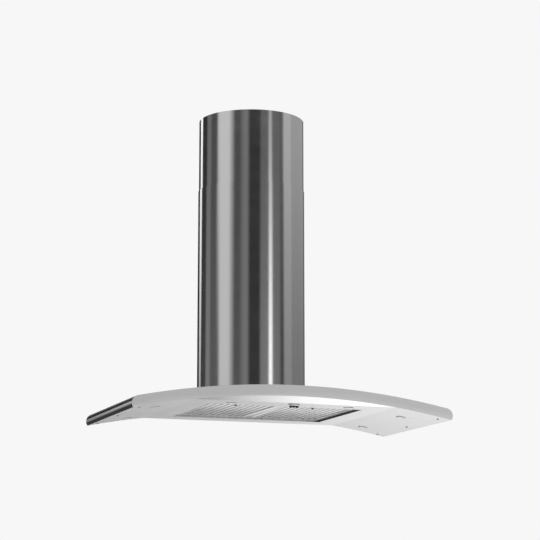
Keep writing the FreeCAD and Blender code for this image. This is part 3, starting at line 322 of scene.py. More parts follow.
@dataclass(frozen=True)
class MouldedPlastic(Finish):
    """Moulded plastic with a fine eroded texture and slight cloudiness."""

    texture: float = 1400.0
    texture_depth: float = 0.00003
    coat: float = 0.0

    def sockets(self, graph: Graph) -> dict[object, object]:
        """Texture in the relief, clouds in the colour and the gloss.

        Args:
            graph: the material's graph.

        Returns:
            The shader's inputs.
        """
        texture = graph.noise(self.texture, 3.0)
        clouds = graph.noise(25.0, 4.0)
        return {
            "Base Color": graph.blend(tinted(self.colour, 0.85), tinted(self.colour, 1.15), clouds),
            "Roughness": (texture - 0.5) * 0.12 + (clouds - 0.5) * 0.1 + self.roughness,
            "Coat Weight": self.coat,
            "Normal": graph.relief(texture, self.texture_depth),
        }


@dataclass(frozen=True)
class PaintedCasting(Finish):
    """Enamelled casting with the orange-peel of sprayed paint and a little dust."""

    dust: tuple[float, float, float] = (0.34, 0.34, 0.33)

    def sockets(self, graph: Graph) -> dict[object, object]:
        """Peel in the relief, dust in the colour and the gloss.

        Args:
            graph: the material's graph.

        Returns:
            The shader's inputs.
        """
        peel = graph.noise(420.0, 2.0)
        dust = (graph.noise(60.0, 6.0) - 0.58).clamped() * 1.6
        return {
            "Base Color": graph.blend(self.colour, self.dust, dust),
            "Roughness": dust * 0.4 + self.roughness,
            "Normal": graph.relief(peel, 0.00006),
        }


@dataclass(frozen=True)
class CircuitBoard(Finish):
    """Green lacquer over copper tracks."""

    track: tuple[float, float, float] = (0.10, 0.34, 0.14)

    def sockets(self, graph: Graph) -> dict[object, object]:
        """Tracks as bands that the lacquer covers.

        Args:
            graph: the material's graph.

        Returns:
            The shader's inputs.
        """
        sockets = {"Vector": graph.place(), "Scale": 180.0, "Distortion": 6.0, "Detail": 1.0}
        bands = graph.node("ShaderNodeTexWave", {}, sockets, output="Fac")
        tracks = ((bands - 0.62) * 12.0).clamped()
        return {
            "Base Color": graph.blend(self.colour, self.track, tracks),
            "Roughness": tracks * -0.1 + self.roughness,
            "Normal": graph.relief(tracks, 0.00003),
        }


@dataclass(frozen=True)
class TurnedMetal(Finish):
    """Turned aluminium whose rings are seen as fine relief."""

    metallic: float = 1.0

    def sockets(self, graph: Graph) -> dict[object, object]:
        """Fine tool marks and faint clouds.

        Args:
            graph: the material's graph.

        Returns:
            The shader's inputs.
        """
        marks = graph.noise(3200.0, 2.0, (1.0, 1.0, 0.1))
        clouds = graph.noise(80.0, 3.0)
        return {
            "Base Color": graph.blend(tinted(self.colour, 0.93), tinted(self.colour, 1.05), clouds),
            "Roughness": (marks - 0.5) * 0.12 + self.roughness,
            "Metallic": self.metallic,
            "Normal": graph.relief(marks, 0.000006),
        }


@dataclass(frozen=True)
class MilkyGlass(Finish):
    """A milky diffuser with a fine pebbled face."""

    def sockets(self, graph: Graph) -> dict[object, object]:
        """Pebbles in the relief, a slight warmth in the middle tones.

        Args:
            graph: the material's graph.

        Returns:
            The shader's inputs.
        """
        sockets = {"Vector": graph.place(), "Scale": 700.0}
        pebbles = graph.node("ShaderNodeTexVoronoi", {"feature": "SMOOTH_F1"}, sockets)
        clouds = graph.noise(120.0, 2.0)
        return {
            "Base Color": graph.blend(tinted(self.colour, 0.94), self.colour, clouds),
            "Roughness": (clouds - 0.5) * 0.1 + self.roughness,
            "Normal": graph.relief(pebbles, 0.00012),
        }


ALONG_X = (0.02, 1.0, 1.0)
ALONG_Y = (1.0, 0.02, 1.0)
ALONG_Z = (1.0, 1.0, 0.02)


class Slot(Enum):
    """The record's material slots, with the finish of each."""

    polished_steel = SheetSteel("polished_steel", grey(0.92), 0.08, 1.0, ALONG_X, 0.000001)
    polished_chimney = SheetSteel("polished_chimney", grey(0.86), 0.11, 1.0, ALONG_Z, 0.000002, 0.0)
    satin_steel = SheetSteel("satin_steel", grey(0.72), 0.25, 0.75, ALONG_X)
    galvanised_steel = ZincSheet("galvanised_steel", (0.60, 0.61, 0.62), 0.42)
    filter_steel = SheetSteel("filter_steel", grey(0.63), 0.26, 0.72, ALONG_Y)
    dark_screw = TurnedMetal("dark_screw", grey(0.16), 0.38)
    black_plastic = MouldedPlastic("black_plastic", grey(0.010), 0.45, 1400.0, 0.00002)
    housing_plastic = MouldedPlastic("housing_plastic", (0.40, 0.41, 0.42), 0.5)
    impeller_plastic = MouldedPlastic("impeller_plastic", (0.10, 0.10, 0.11), 0.48)
    board_green = CircuitBoard("board_green", (0.03, 0.16, 0.06), 0.35)
    motor_case = PaintedCasting("motor_case", (0.13, 0.13, 0.14), 0.38)
    lamp_aluminium = TurnedMetal("lamp_aluminium", grey(0.78), 0.3, 0.7)
    lamp_diffuser = MilkyGlass("lamp_diffuser", (0.64, 0.64, 0.63), 0.22)


# ------------------------------------------------------------------------ studio

@dataclass(frozen=True)
class Card:
    """A card or a lamp of the studio's round, as polished steel mirrors it.

    Its right edge stands at the azimuth `until` in degrees, is `soft` wide, and leans by
    `lean` towards its foot.  `low` and `high` are its greys at its foot and its head.
    """

    until: float
    low: float
    high: float
    soft: float = 6.0
    lean: float = 0.0


@dataclass
class Studio:
    """Camera, floor, soft light and the round of cards that polished steel mirrors.

    `under` is what lies below the horizon, by height, and `drift` what it is multiplied by
    on its way round.  The corner is the shaded part of the round at the left of the back.
    """

    camera_place: tuple[float, float, float] = (-1.7426, -5.0973, -0.6174)
    camera_turn: float = 19.805
    camera_lift: float = 10.877
    lens: float = 125.96
    sensor: float = 36.0
    backdrop: float = 0.93
    fill: float = 0.84
    hood_middle: Vector = field(default_factory=lambda: Vector((0.0, 0.0, 0.1)))
    floor_height: float = -7.0
    floor_half: float = 20.0
    floor_cloud: float = 0.01
    low_lamp: tuple[float, float, float] = (-4.0, -1.4, -1.6)
    side_lamp: tuple[float, float, float] = (1.7, -1.9, -0.2)
    low_lift: float = 8.0
    high_lift: float = 15.0
    horizon: float = 0.05
    horizon_edge: float = 14.0
    under_gain: float = 2.0
    corner_until: float = 0.095
    corner_edge: float = 40.0
    corner_top: float = 0.30
    corner_top_edge: float = 5.0
    corner_shade: float = 0.87
    sky: float = 0.55
    sky_from: float = 0.29
    sky_edge: float = 7.0
    under: tuple[tuple[float, float], ...] = (
        (0.0, 0.45), (0.30, 0.30), (0.375, 0.33), (0.41, 0.22), (0.45, 0.165), (0.5, 0.155), (1.0, 0.155),
    )
    drift: tuple[tuple[float, float], ...] = (
        (0.0, 0.55), (0.08, 1.0), (0.52, 1.0), (0.58, 1.3), (0.84, 1.5),
        (0.936, 2.4), (0.946, 1.3), (0.958, 0.75), (1.0, 0.5),
    )
    cards: tuple[Card, ...] = (
        Card(-167.0, 0.02, 0.02, 4.0),
        Card(-155.5, 1.70, 1.50, 4.0),
        Card(-133.0, 0.05, 0.022),
        Card(-118.0, 0.20, 0.15),
        Card(-98.0, 0.10, 0.066, 7.0, 6.0),
        Card(-62.0, 0.54, 0.58, 14.0),
        Card(-40.0, 0.085, 0.062, 10.0),
        Card(-25.0, 0.18, 0.165),
        Card(1.0, 0.031, 0.025, 5.0, -1.0),
        Card(19.5, 0.19, 0.105, 4.5),
        Card(26.0, 1.30, 0.40, 5.0, 1.0),
        Card(46.0, 0.17, 0.115, 5.0),
        Card(55.0, 0.05, 0.10, 5.0, 1.0),
        Card(78.0, 0.25, 0.44, 5.0),
        Card(138.0, 0.185, 0.345, 10.0),
        Card(180.0, 0.05, 0.10, 0.0),
    )

    def build(self) -> None:
        """Set up the camera, the world, the floor and the lamp."""
        self._camera()
        self._world()
        self._floor()
        self._lamp("low_lamp", self.low_lamp, 2.0, 110.0)
        self._lamp("side_lamp", self.side_lamp, 0.8, 26.0)
        bpy.context.scene.view_settings.view_transform = "Standard"
        log.info("studio ready")

    def _camera(self) -> None:
        """Stand the camera where the photograph was taken from."""
        data = bpy.data.cameras.new("camera")
        data.lens = self.lens
        data.sensor_width = self.sensor
        data.clip_end = 60.0
        camera = bpy.data.objects.new("camera", data)
        camera.location = self.camera_place
        camera.rotation_euler = (math.radians(90.0 + self.camera_lift), 0.0, -math.radians(self.camera_turn))
        bpy.context.scene.collection.objects.link(camera)
        bpy.context.scene.camera = camera

    def _stops(self, foot: bool) -> list[tuple[float, float]]:
        """Ramp stops for one height of the round.

        Args:
            foot: whether the cards' feet are meant, or their heads.

        Returns:
            Pairs of position and grey, once round from the back over the left.
        """
        levels = [card.low if foot else card.high for card in self.cards]
        stops = []
        for card, level, following in zip(self.cards, levels, levels[1:]):
            edge = card.until + 180.0 + (card.lean if foot else 0.0)
            stops.append(((edge - card.soft / 2) / 360.0, level))
            stops.append(((edge + card.soft / 2) / 360.0, following))
        return stops

    def _world(self) -> None:
        """Even light for matt surfaces, a pale backdrop, and the round of cards for gloss."""
        world = bpy.data.worlds.new("studio")
        world.use_nodes = True
        bpy.context.scene.world = world
        graph = Graph(world.node_tree)
        way = graph.node("ShaderNodeTexCoord", output="Generated")
        x, y, z = (
            graph.node("ShaderNodeSeparateXYZ", {}, {"Vector": way}, output=axis) for axis in range(3)
        )
        turn = graph.node("ShaderNodeMath", {"operation": "ARCTAN2"}, {0: x, 1: y * -1.0})
        share = turn / (2.0 * math.pi) + 0.5
        feet = graph.ramp(share, self._stops(True))
        heads = graph.ramp(share, self._stops(False))
        bottom, top = (math.sin(math.radians(lift)) for lift in (self.low_lift, self.high_lift))
        sides = graph.between(feet, heads, ((z - bottom) / (top - bottom)).clamped())
        under = graph.ramp(z * 0.5 + 0.5, self.under) * graph.ramp(share, self.drift) * self.under_gain
        lower = graph.between(sides, under, ((self.horizon - z) * self.horizon_edge).clamped())
        beside = ((self.corner_until - share) * self.corner_edge).clamped()
        corner = beside * ((self.corner_top - z) * self.corner_top_edge).clamped()
        shaded = lower * (1.0 - corner * self.corner_shade)
        gloss = graph.between(shaded, self.sky, ((z - self.sky_from) * self.sky_edge).clamped())
        glossy = graph.node("ShaderNodeLightPath", output="Is Glossy Ray")
        seen = graph.node("ShaderNodeLightPath", output="Is Camera Ray")
        matt = seen * (self.backdrop - self.fill) + self.fill
        colour = graph.between(matt, gloss, glossy)
        light = graph.node("ShaderNodeBackground", {}, {"Color": colour, "Strength": 1.0})
        graph.node("ShaderNodeOutputWorld", {}, {"Surface": light})

    def _floor(self) -> None:
        """Lay the pale floor."""
        bpy.ops.object.select_all(action="DESELECT")
        bpy.ops.mesh.primitive_plane_add(size=2 * self.floor_half, location=(0, 0, self.floor_height))
        floor = bpy.context.active_object
        floor.name = "floor"
        material = bpy.data.materials.new("pale_floor")
        material.use_nodes = True
        graph = Graph(material.node_tree)
        clouds = graph.noise(3.0, 2.0)
        colour = graph.blend(
            grey(self.backdrop - self.floor_cloud), grey(self.backdrop + self.floor_cloud), clouds)
        shader = graph.node("ShaderNodeBsdfPrincipled", {}, {"Base Color": colour, "Roughness": 0.9})
        graph.node("ShaderNodeOutputMaterial", {}, {"Surface": shader})
        floor.data.materials.append(material)

    def _lamp(self, name: str, place: Sequence[float], size: float, energy: float) -> None:
        """Hang a wide lamp that only matt surfaces feel.

        Args:
            name: the lamp's name.
            place: where it hangs; it looks at the hood.
            size: its width and height.
            energy: its strength in watts.
        """
        data = bpy.data.lights.new(name, "AREA")
        data.shape = "RECTANGLE"
        data.size, data.size_y = size, size
        data.energy = energy
        lamp = bpy.data.objects.new(name, data)
        lamp.location = place
        lamp.rotation_euler = (self.hood_middle - lamp.location).to_track_quat("-Z", "Y").to_euler()
        lamp.visible_glossy = False
        lamp.visible_camera = False
        bpy.context.scene.collection.objects.link(lamp)


OWN_FINISH = {
    "filter_recess": SheetSteel("recess_steel", grey(0.58), 0.15, 1.0, ALONG_X),
    "front_fascia": SheetSteel("ground_steel", grey(0.51), 0.42, 0.45, ALONG_X, 0.000006),
    # painted shade: the lamp bodies' aluminium is darkened to 0.34 so that each rim reads as the dark shadow
    # line around its lamp
    "lamp_bodies": TurnedMetal("lamp_rim_painted_shade", grey(0.34), 0.3),
}


# ------------------------------------------------------------------- the bench

Test = Callable[[Vector, Vector], bool]
Step = Callable[[], object]
WELD = 0.002 * MM
FLAT_ANGLE = math.radians(0.5)
SMOOTH_ANGLE = math.radians(32.0)


def every_face(middle: Vector, normal: Vector) -> bool:
    """A test that picks all the faces."""
    return True


def towards(x: float, y: float, z: float) -> Test:
    """A test that picks the faces that look along a direction."""
    return lambda middle, normal: normal.dot(Vector((x, y, z))) > 0.99


DOWN = towards(0, 0, -1)
UPWARDS = towards(0, 0, 1)
FRONTWARDS = towards(0, -1, 0)
BACKWARDS = towards(0, 1, 0)


class Way(Enum):
    """The axis that a turned piece stands along."""

    UP = (0.0, 0.0, 0.0)
    BACK = (math.pi / 2, 0.0, 0.0)


class Workpiece:
    """A new piece on the bench, shaped with Blender's own tools."""

    def __init__(self, name: str) -> None:
        """Clear the bench for a piece of that name."""
        self.name = name
        bpy.ops.object.select_all(action="DESELECT")

    def _taken(self) -> "Workpiece":
        """Keep the form just added, with its place in its mesh.

        Returns:
            This piece.
        """
        self.thing = bpy.context.view_layer.objects.active
        self.thing.name = self.thing.data.name = self.name
        bpy.ops.object.transform_apply(location=True, rotation=True, scale=True)
        return self

    def turned(
        self, middle: Sequence[float], radius: float, length: float, sides: int = 48, way: Way = Way.UP
    ) -> "Workpiece":
        """Start from a round bar.

        Args:
            middle: the bar's middle.
            radius: its radius.
            length: its length.
            sides: its flats.
            way: the axis that it stands along.

        Returns:
            This piece.
        """
        bpy.ops.mesh.primitive_cylinder_add(
            vertices=sides, radius=radius, depth=length, location=middle, rotation=way.value
        )
        return self._taken()

    def block(self, low: Sequence[float], high: Sequence[float]) -> "Workpiece":
        """Start from a block between two corners.

        Args:
            low: the lowest corner.
            high: the highest corner.

        Returns:
            This piece.
        """
        low, high = Vector(low), Vector(high)
        bpy.ops.mesh.primitive_cube_add(size=1.0, location=(low + high) / 2)
        bpy.context.view_layer.objects.active.scale = high - low
        return self._taken()

    def cast(self, node: str) -> "Workpiece":
        """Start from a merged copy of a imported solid, with its flat faces whole.

        Args:
            node: the solid's name.

        Returns:
            This piece.
        """
        twin = frame["nodes"][node].copy()
        twin.data = frame["nodes"][node].data.copy()
        twin.parent = None
        bpy.context.scene.collection.objects.link(twin)
        bpy.context.view_layer.objects.active = twin
        twin.select_set(True)
        self.thing = twin
        twin.name = twin.data.name = self.name
        bpy.ops.object.mode_set(mode="EDIT")
        bpy.ops.mesh.select_all(action="SELECT")
        bpy.ops.mesh.remove_doubles(threshold=WELD)
        bpy.ops.mesh.dissolve_limited(angle_limit=FLAT_ANGLE)
        bpy.ops.object.mode_set(mode="OBJECT")
        return self

    def at(self, test: Test, *steps: Step) -> "Workpiece":
        """Work on some of the faces in edit mode.

        Args:
            test: picks them by their middle and normal.
            steps: what is done to them, in order.

        Returns:
            This piece.
        """
        bpy.context.view_layer.objects.active = self.thing
        bpy.ops.object.mode_set(mode="EDIT")
        bpy.context.tool_settings.mesh_select_mode = (False, False, True)
        bpy.ops.mesh.select_all(action="DESELECT")
        mesh = bmesh.from_edit_mesh(self.thing.data)
        for face in mesh.faces:
            face.select_set(test(face.calc_center_median(), face.normal))
        bmesh.update_edit_mesh(self.thing.data)
        for step in steps:
            step()
        bpy.ops.object.mode_set(mode="OBJECT")
        return self

    def sliced(self, point: Sequence[float], along: Sequence[float]) -> "Workpiece":
        """Cut new edges where a plane crosses the piece.

        Args:
            point: a point of the plane.
            along: its normal.

        Returns:
            This piece.
        """
        return self.at(every_face, lambda: bpy.ops.mesh.bisect(plane_co=point, plane_no=along))

    def bevelled(self, width: float, segments: int = 2, angle: float = 30.0) -> "Workpiece":
        """Round every edge that is sharper than an angle.

        Args:
            width: width of the rounding.
            segments: its steps.
            angle: the least angle in degrees.

        Returns:
            This piece.
        """
        bpy.context.view_layer.objects.active = self.thing
        bevel = self.thing.modifiers.new("bevel", "BEVEL")
        bevel.width = width
        bevel.segments = segments
        bevel.limit_method = "ANGLE"
        bevel.angle_limit = math.radians(angle)
        bpy.ops.object.modifier_apply(modifier=bevel.name)
        return self

    def repeated(self, placings: Sequence[Matrix]) -> "Workpiece":
        """Stand copies of the piece at several places, as one piece.

        Args:
            placings: where each copy goes.

        Returns:
            This piece.
        """
        twins = []
        for placing in placings:
            twin = self.thing.copy()
            twin.data = self.thing.data.copy()
            twin.data.transform(placing)
            bpy.context.scene.collection.objects.link(twin)
            twins.append(twin)
        bpy.data.objects.remove(self.thing)
        return self._joined(twins)

    def with_parts(self, *others: "Workpiece") -> "Workpiece":
        """Join other pieces to this one."""
        return self._joined([self.thing] + [other.thing for other in others])

    def _joined(self, things: Sequence[bpy.types.Object]) -> "Workpiece":
        """Make one piece of several.

        Args:
            things: the objects that are joined.

        Returns:
            This piece.
        """
        bpy.ops.object.select_all(action="DESELECT")
        for thing in things:
            thing.select_set(True)
        bpy.context.view_layer.objects.active = things[0]
        if len(things) > 1:
            bpy.ops.object.join()
        self.thing = bpy.context.view_layer.objects.active
        self.thing.name = self.thing.data.name = self.name
        return self

    def done(self, body: str, slot: "Slot", *nodes: str, finish: Finish | None = None) -> None:
        """Smooth the piece, give it its finish and let it ride.

        Args:
            body: the body that it moves with.
            slot: its material slot.
            nodes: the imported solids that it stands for.
            finish: its own finish, where it differs from the slot's.
        """
        bpy.ops.object.select_all(action="DESELECT")
        self.thing.select_set(True)
        self.at(
            every_face,
            lambda: bpy.ops.mesh.remove_doubles(threshold=WELD),
            lambda: bpy.ops.mesh.normals_make_consistent(inside=False),
        )
        bpy.ops.object.shade_smooth_by_angle(angle=SMOOTH_ANGLE)
        self.thing.data.materials.clear()
        self.thing.data.materials.append((finish or slot.value).material())
        if nodes:
            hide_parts(*nodes)
        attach(self.thing, body)
        log.info("%s rides on %s", self.name, body)


def inset(width: float, depth: float = 0.0) -> Step:
    """A step that draws the rim of the faces inwards, and sinks or raises what is inside it."""
    return lambda: bpy.ops.mesh.inset(thickness=width, depth=depth)


def draw(x: float, y: float, z: float) -> Step:
    """A step that draws the faces out along a line."""
    return lambda: bpy.ops.mesh.extrude_region_move(TRANSFORM_OT_translate={"value": (x, y, z)})


def draw_each(depth: float) -> Step:
    """A step that draws each face out along its normal."""
    return lambda: bpy.ops.mesh.extrude_faces_move(TRANSFORM_OT_shrink_fatten={"value": depth})


def bridge() -> object:
    """A step that opens a hole between two faces, or two groups of faces."""
    return bpy.ops.mesh.bridge_edge_loops()


def round_rim(width: float, segments: int = 3) -> tuple[Step, Step]:
    """The steps that round the rim of the faces.

    Args:
        width: width of the rounding.
        segments: its steps.

    Returns:
        The two steps, in order.
    """
    return (
        lambda: bpy.ops.mesh.region_to_loop(),
        lambda: bpy.ops.mesh.bevel(offset=width, segments=segments, affect="EDGES"),
    )


# ------------------------------------------------------------------- fasteners

@dataclass(frozen=True)
class CrossScrew:
    """A screw with a round head and a cross recess, its head towards -Z."""

    head: float
    drop: float
    shank: float
    length: float

    def piece(self, name: str) -> Workpiece:
        """Model one screw whose head lies against z = 0.

        Args:
            name: name of the piece.

        Returns:
            The piece.
        """
        arm = 0.14 * self.head
        reach = 0.62 * self.head
        screw = Workpiece(name).turned((0, 0, -self.drop / 2), self.head, self.drop, 24)
        screw.at(DOWN, *round_rim(0.4 * self.drop))
        screw.at(
            lambda middle, normal: normal.z < -0.99 and middle.xy.length < 0.1 * self.head,
            inset(0.85 * self.head - 0.4 * self.drop - reach * 0.85),
        )
        for side in (-arm, arm):
            screw.sliced((side, 0, 0), (1, 0, 0)).sliced((0, side, 0), (0, 1, 0))
        screw.at(
            lambda middle, normal: normal.z < -0.99 and middle.xy.length < 0.75 * reach
            and min(abs(middle.x), abs(middle.y)) < arm,
            draw(0, 0, 0.65 * self.drop),
        )
        shank = Workpiece("shank").turned((0, 0, self.length / 2), self.shank, self.length, 16)
        return screw.with_parts(shank.at(UPWARDS, *round_rim(0.4 * self.shank, 1)))


@dataclass
class Fasteners:
    """The screws that show: six in the wings and two in the upper cover's returns."""

    wing: CrossScrew = CrossScrew(3.0 * MM, 1.2 * MM, 1.5 * MM, 8.0 * MM)
    wing_x: float = 421.0 * MM
    wing_rows: tuple[float, ...] = (-435.0 * MM, -226.0 * MM, -17.0 * MM)
    arch: float = 2150.0 * MM
    fold: float = 284.5 * MM
    pan: float = -24.0 * MM
    seat: float = 0.1 * MM
    bracket: CrossScrew = CrossScrew(3.8 * MM, 1.6 * MM, 2.0 * MM, 3.2 * MM)
    bracket_place: tuple[float, float, float] = (109.44 * MM, -5.6 * MM, 797.0 * MM)

    def under_at(self, x: float) -> float:
        """Height of the curved underside at a distance from the middle."""
        return self.pan + math.sqrt(self.arch ** 2 - x ** 2) - math.sqrt(self.arch ** 2 - self.fold ** 2)

    def leaning(self, x: float, y: float) -> Matrix:
        """Where a piece goes that hangs square under the curved underside.

        Args:
            x: its place across the hood.
            y: its place from front to rear.

        Returns:
            The placing.
        """
        lean = Matrix.Rotation(math.asin(x / self.arch), 4, "Y")
        return Matrix.Translation((x, y, self.under_at(x))) @ lean

    def build(self) -> None:
        """Model the screws and stand them in their holes."""
        lowered = Matrix.Translation((0, 0, -self.seat))
        places = [
            self.leaning(side * self.wing_x, row) @ lowered for side in (-1, 1) for row in self.wing_rows
        ]
        self.wing.piece("wing_screw_heads").repeated(places).done("hood", Slot.dark_screw, "wing_screws")
        x, y, z = self.bracket_place
        places = [
            Matrix.Translation((side * x, y, z)) @ Matrix.Rotation(-math.pi / 2, 4, "X") for side in (-1, 1)
        ]
        self.bracket.piece("bracket_screw_heads").repeated(places).done(
            "upper_chimney", Slot.dark_screw, "bracket_screws")


# ------------------------------------------------------------------------ lamps

@dataclass
class SpotLamps:
    """The six spot lamps, each a finned body with its rim, and a crowned diffuser under it."""

    fasteners: Fasteners
    rim: float = 13.6 * MM
    rim_height: float = 0.8 * MM
    body: float = 12.0 * MM
    height: float = 13.0 * MM
    lens: float = 10.9 * MM
    lens_height: float = 0.6 * MM
    neck: float = 1.5 * MM
    fin_depth: float = 1.4 * MM
    pan_place: tuple[float, float] = (165.0 * MM, -420.0 * MM)
    wing_places: tuple[tuple[float, float], ...] = ((352.0 * MM, -343.0 * MM), (352.0 * MM, -70.0 * MM))
    flats: int = 48

    def _placings(self) -> list[Matrix]:
        """Where the lamps hang.

        Returns:
            A placing for each of the six.
        """
        x, y = self.pan_place
        placings = [Matrix.Translation((side * x, y, self.fasteners.pan)) for side in (-1, 1)]
        for x, y in self.wing_places:
            placings += [self.fasteners.leaning(side * x, y) for side in (-1, 1)]
        return placings

    def _slot_between_fins(self, middle: Vector, normal: Vector) -> bool:
        """Whether a face of the body is one of those that are sunk between two fins."""
        turn = round(math.atan2(normal.y, normal.x) / (2 * math.pi / self.flats) - 0.5)
        return abs(normal.z) < 0.1 and middle.z > 2.0 * MM and turn % 2 == 0

    def build(self) -> None:
        """Model one lamp and hang all six."""
        seat = self.fasteners.seat
        low = -seat - self.rim_height
        shell = Workpiece("lamp_housings")
        shell.turned((0, 0, (low - seat) / 2), self.rim, self.rim_height, self.flats)
        shell.at(DOWN, *round_rim(0.35 * MM))
        shell.at(
            lambda middle, normal: normal.z < -0.99 and middle.xy.length < self.body,
            inset(1.7 * MM), inset(0.3 * MM, -0.25 * MM),
        )
        shell.at(
            UPWARDS,
            inset(self.rim - self.body), draw(0, 0, self.neck), draw(0, 0, self.height - 1.4 * MM),
        )
        shell.at(self._slot_between_fins, draw_each(-self.fin_depth))
        shell.at(
            lambda middle, normal: normal.z > 0.99 and middle.z > 12.0 * MM and middle.xy.length < 1.0 * MM,
            inset(5.0 * MM, -3.0 * MM),
        )
        placings = self._placings()
        # the housings wear the darkened finish, whose dark rim is painted shade
        shell.repeated(placings).done(
            "hood", Slot.lamp_aluminium, "lamp_bodies", finish=OWN_FINISH["lamp_bodies"])
        lens = Workpiece("lamp_diffusers").turned(
            (0, 0, low - seat - self.lens_height / 4), self.lens, self.lens_height / 2, self.flats)
        crown = ((0.6, 0.10), (2.4, 0.11), (3.4, 0.07), (2.4, 0.02))
        lens.at(DOWN, *(inset(width * MM, rise * MM) for width, rise in crown))
        lens.repeated(placings).done("hood", Slot.lamp_diffuser, "lamp_lenses")


# --------------------------------------------------------------------- controls

@dataclass
class Controls:
    """The pod, its three dished buttons, and the parts of the board above them."""

    middle_y: float = -445.0 * MM
    pitch: float = 8.9 * MM
    radius: float = 3.7 * MM
    foot: float = -33.0 * MM
    top: float = -22.2 * MM
    collar: float = 4.3 * MM
    collar_height: float = 0.7 * MM
    pod_half: tuple[float, float] = (14.2 * MM, 5.5 * MM)
    pod_under: float = -28.5 * MM
    pan_under: float = -24.0 * MM
    # painted shadow: the black band round the pod stands in for the shadow line where the pod meets the pan
    gasket_height: float = 0.9 * MM
    gasket_lap: float = 0.1 * MM
    gasket_width: float = 1.0 * MM
    sleeve: float = 4.35 * MM
    sleeve_bore: float = 3.85 * MM
    sleeve_height: float = 1.8 * MM
    board_top: float = -14.3 * MM

    def build(self) -> None:
        """Model the pod, the buttons and the board's parts."""
        Workpiece("pod_shell").cast("control_pod").bevelled(0.45 * MM, 3).done(
            "hood", Slot.polished_steel, "control_pod")
        for number, step in enumerate((-1, 0, 1), start=1):
            self._button(f"button_cap_{number}", step * self.pitch, f"button_{number}")
        self._gasket()
        self._sleeves()
        self._board()

    def _gasket(self) -> None:
        """Model the black band between the pod and the pan, a painted shadow that stands in for the shadow
        line where they meet.
        """
        half_x, half_y = (half + self.gasket_lap for half in self.pod_half)
        shade_band = Workpiece("pod_shadow_band").block(
            (-half_x, self.middle_y - half_y, self.pan_under - self.gasket_height),
            (half_x, self.middle_y + half_y, self.pan_under - 0.02 * MM))
        shade_band.at(
            lambda middle, normal: abs(normal.z) > 0.99,
            inset(self.gasket_width), bridge,
        )
        shade_band.bevelled(0.2 * MM).done("hood", Slot.black_plastic)

    def _sleeves(self) -> None:
        """Model the three guide sleeves that the buttons run in."""
        low, high = self.pod_under - self.sleeve_height, self.pod_under - 0.02 * MM
        sleeve = Workpiece("button_sleeves").turned(
            (-self.pitch, self.middle_y, (low + high) / 2), self.sleeve, high - low, 32)
        sleeve.at(lambda middle, normal: abs(normal.z) > 0.99, inset(self.sleeve - self.sleeve_bore))
        sleeve.at(
            lambda middle, normal: abs(normal.z) > 0.99 and abs(middle.x + self.pitch) < MM
            and abs(middle.y - self.middle_y) < MM,
            bridge,
        )
        steps = [Matrix.Translation((place * self.pitch, 0, 0)) for place in range(3)]
        sleeve.bevelled(0.12 * MM, 1).repeated(steps).done("hood", Slot.black_plastic)

    def _button(self, name: str, x: float, node: str) -> None:
        """Model a button.

        Args:
            name: name of the piece.
            x: its place across the hood.
            node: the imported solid, which is also the body.
        """
        y = self.middle_y
        middle = (x, y, (self.foot + self.top) / 2)
        cap = Workpiece(name).turned(middle, self.radius, self.top - self.foot, 32)
        cap.at(DOWN, *round_rim(0.9 * MM, 4))
        cap.at(
            lambda middle, normal: normal.z < -0.99 and abs(middle.x - x) < MM,
            inset(0.4 * MM), inset(0.7 * MM, -0.30 * MM), inset(0.8 * MM, -0.12 * MM),
        )
        collar = Workpiece("collar").block(
            (x - self.collar, y - self.collar, self.top - self.collar_height),
            (x + self.collar, y + self.collar, self.top),
        ).bevelled(0.2 * MM)
        cap.with_parts(collar).done(node, Slot.black_plastic, node)

    def _board(self) -> None:
        """Model the board and what is soldered to it."""
        Workpiece("board_plate").cast("control_board").bevelled(0.15 * MM, 1).done(
            "hood", Slot.board_green, "control_board")
        z = self.board_top
        chip = Workpiece("board_chips").block(
            (-7 * MM, -441 * MM, z + 0.2 * MM), (7 * MM, -434 * MM, z + 2.2 * MM))
        chip.at(UPWARDS, inset(0.5 * MM, 0.2 * MM))
        leg = Workpiece("leg").block((-6.3 * MM, -442.4 * MM, z), (-5.7 * MM, -441 * MM, z + 0.3 * MM))
        leg.at(BACKWARDS, draw(0, 0.4 * MM, 0.9 * MM), draw(0, 0.4 * MM, 0))
        step, across = 2.1 * MM, -875.0 * MM
        rows = [Matrix.Translation((step * place, 0, 0)) for place in range(7)]
        turned = Matrix.Translation((-12 * MM, across, 0)) @ Matrix.Rotation(math.pi, 4, "Z")
        mirrored = [row @ turned for row in rows]
        leg.repeated(rows + mirrored)
        chip.bevelled(0.2 * MM).done("hood", Slot.black_plastic)
        leg.name = "board_legs"
        leg.done("hood", Slot.lamp_aluminium)
        socket = Workpiece("board_socket").block((16 * MM, -440 * MM, z), (30 * MM, -432 * MM, z + 7 * MM))
        socket.at(BACKWARDS, inset(1.0 * MM), draw(0, -5.0 * MM, 0))
        socket.bevelled(0.25 * MM).done("hood", Slot.housing_plastic)
        can = Workpiece("board_capacitors").turned((-20 * MM, -437 * MM, z + 3.5 * MM), 2.5 * MM, 7 * MM, 24)
        can.at(UPWARDS, *round_rim(0.4 * MM))
        can.sliced((0, 0, z + 1.2 * MM), (0, 0, 1)).sliced((0, 0, z + 1.8 * MM), (0, 0, 1))
        can.at(
            lambda middle, normal: abs(normal.z) < 0.1 and z + 1.2 * MM < middle.z < z + 1.8 * MM,
            lambda: bpy.ops.transform.shrink_fatten(value=-0.25 * MM),
        )
        can.repeated([Matrix.Identity(4), Matrix.Translation((-6.5 * MM, 0, 0))])
        can.done("hood", Slot.lamp_aluminium)


# ---------------------------------------------------------------------- filters

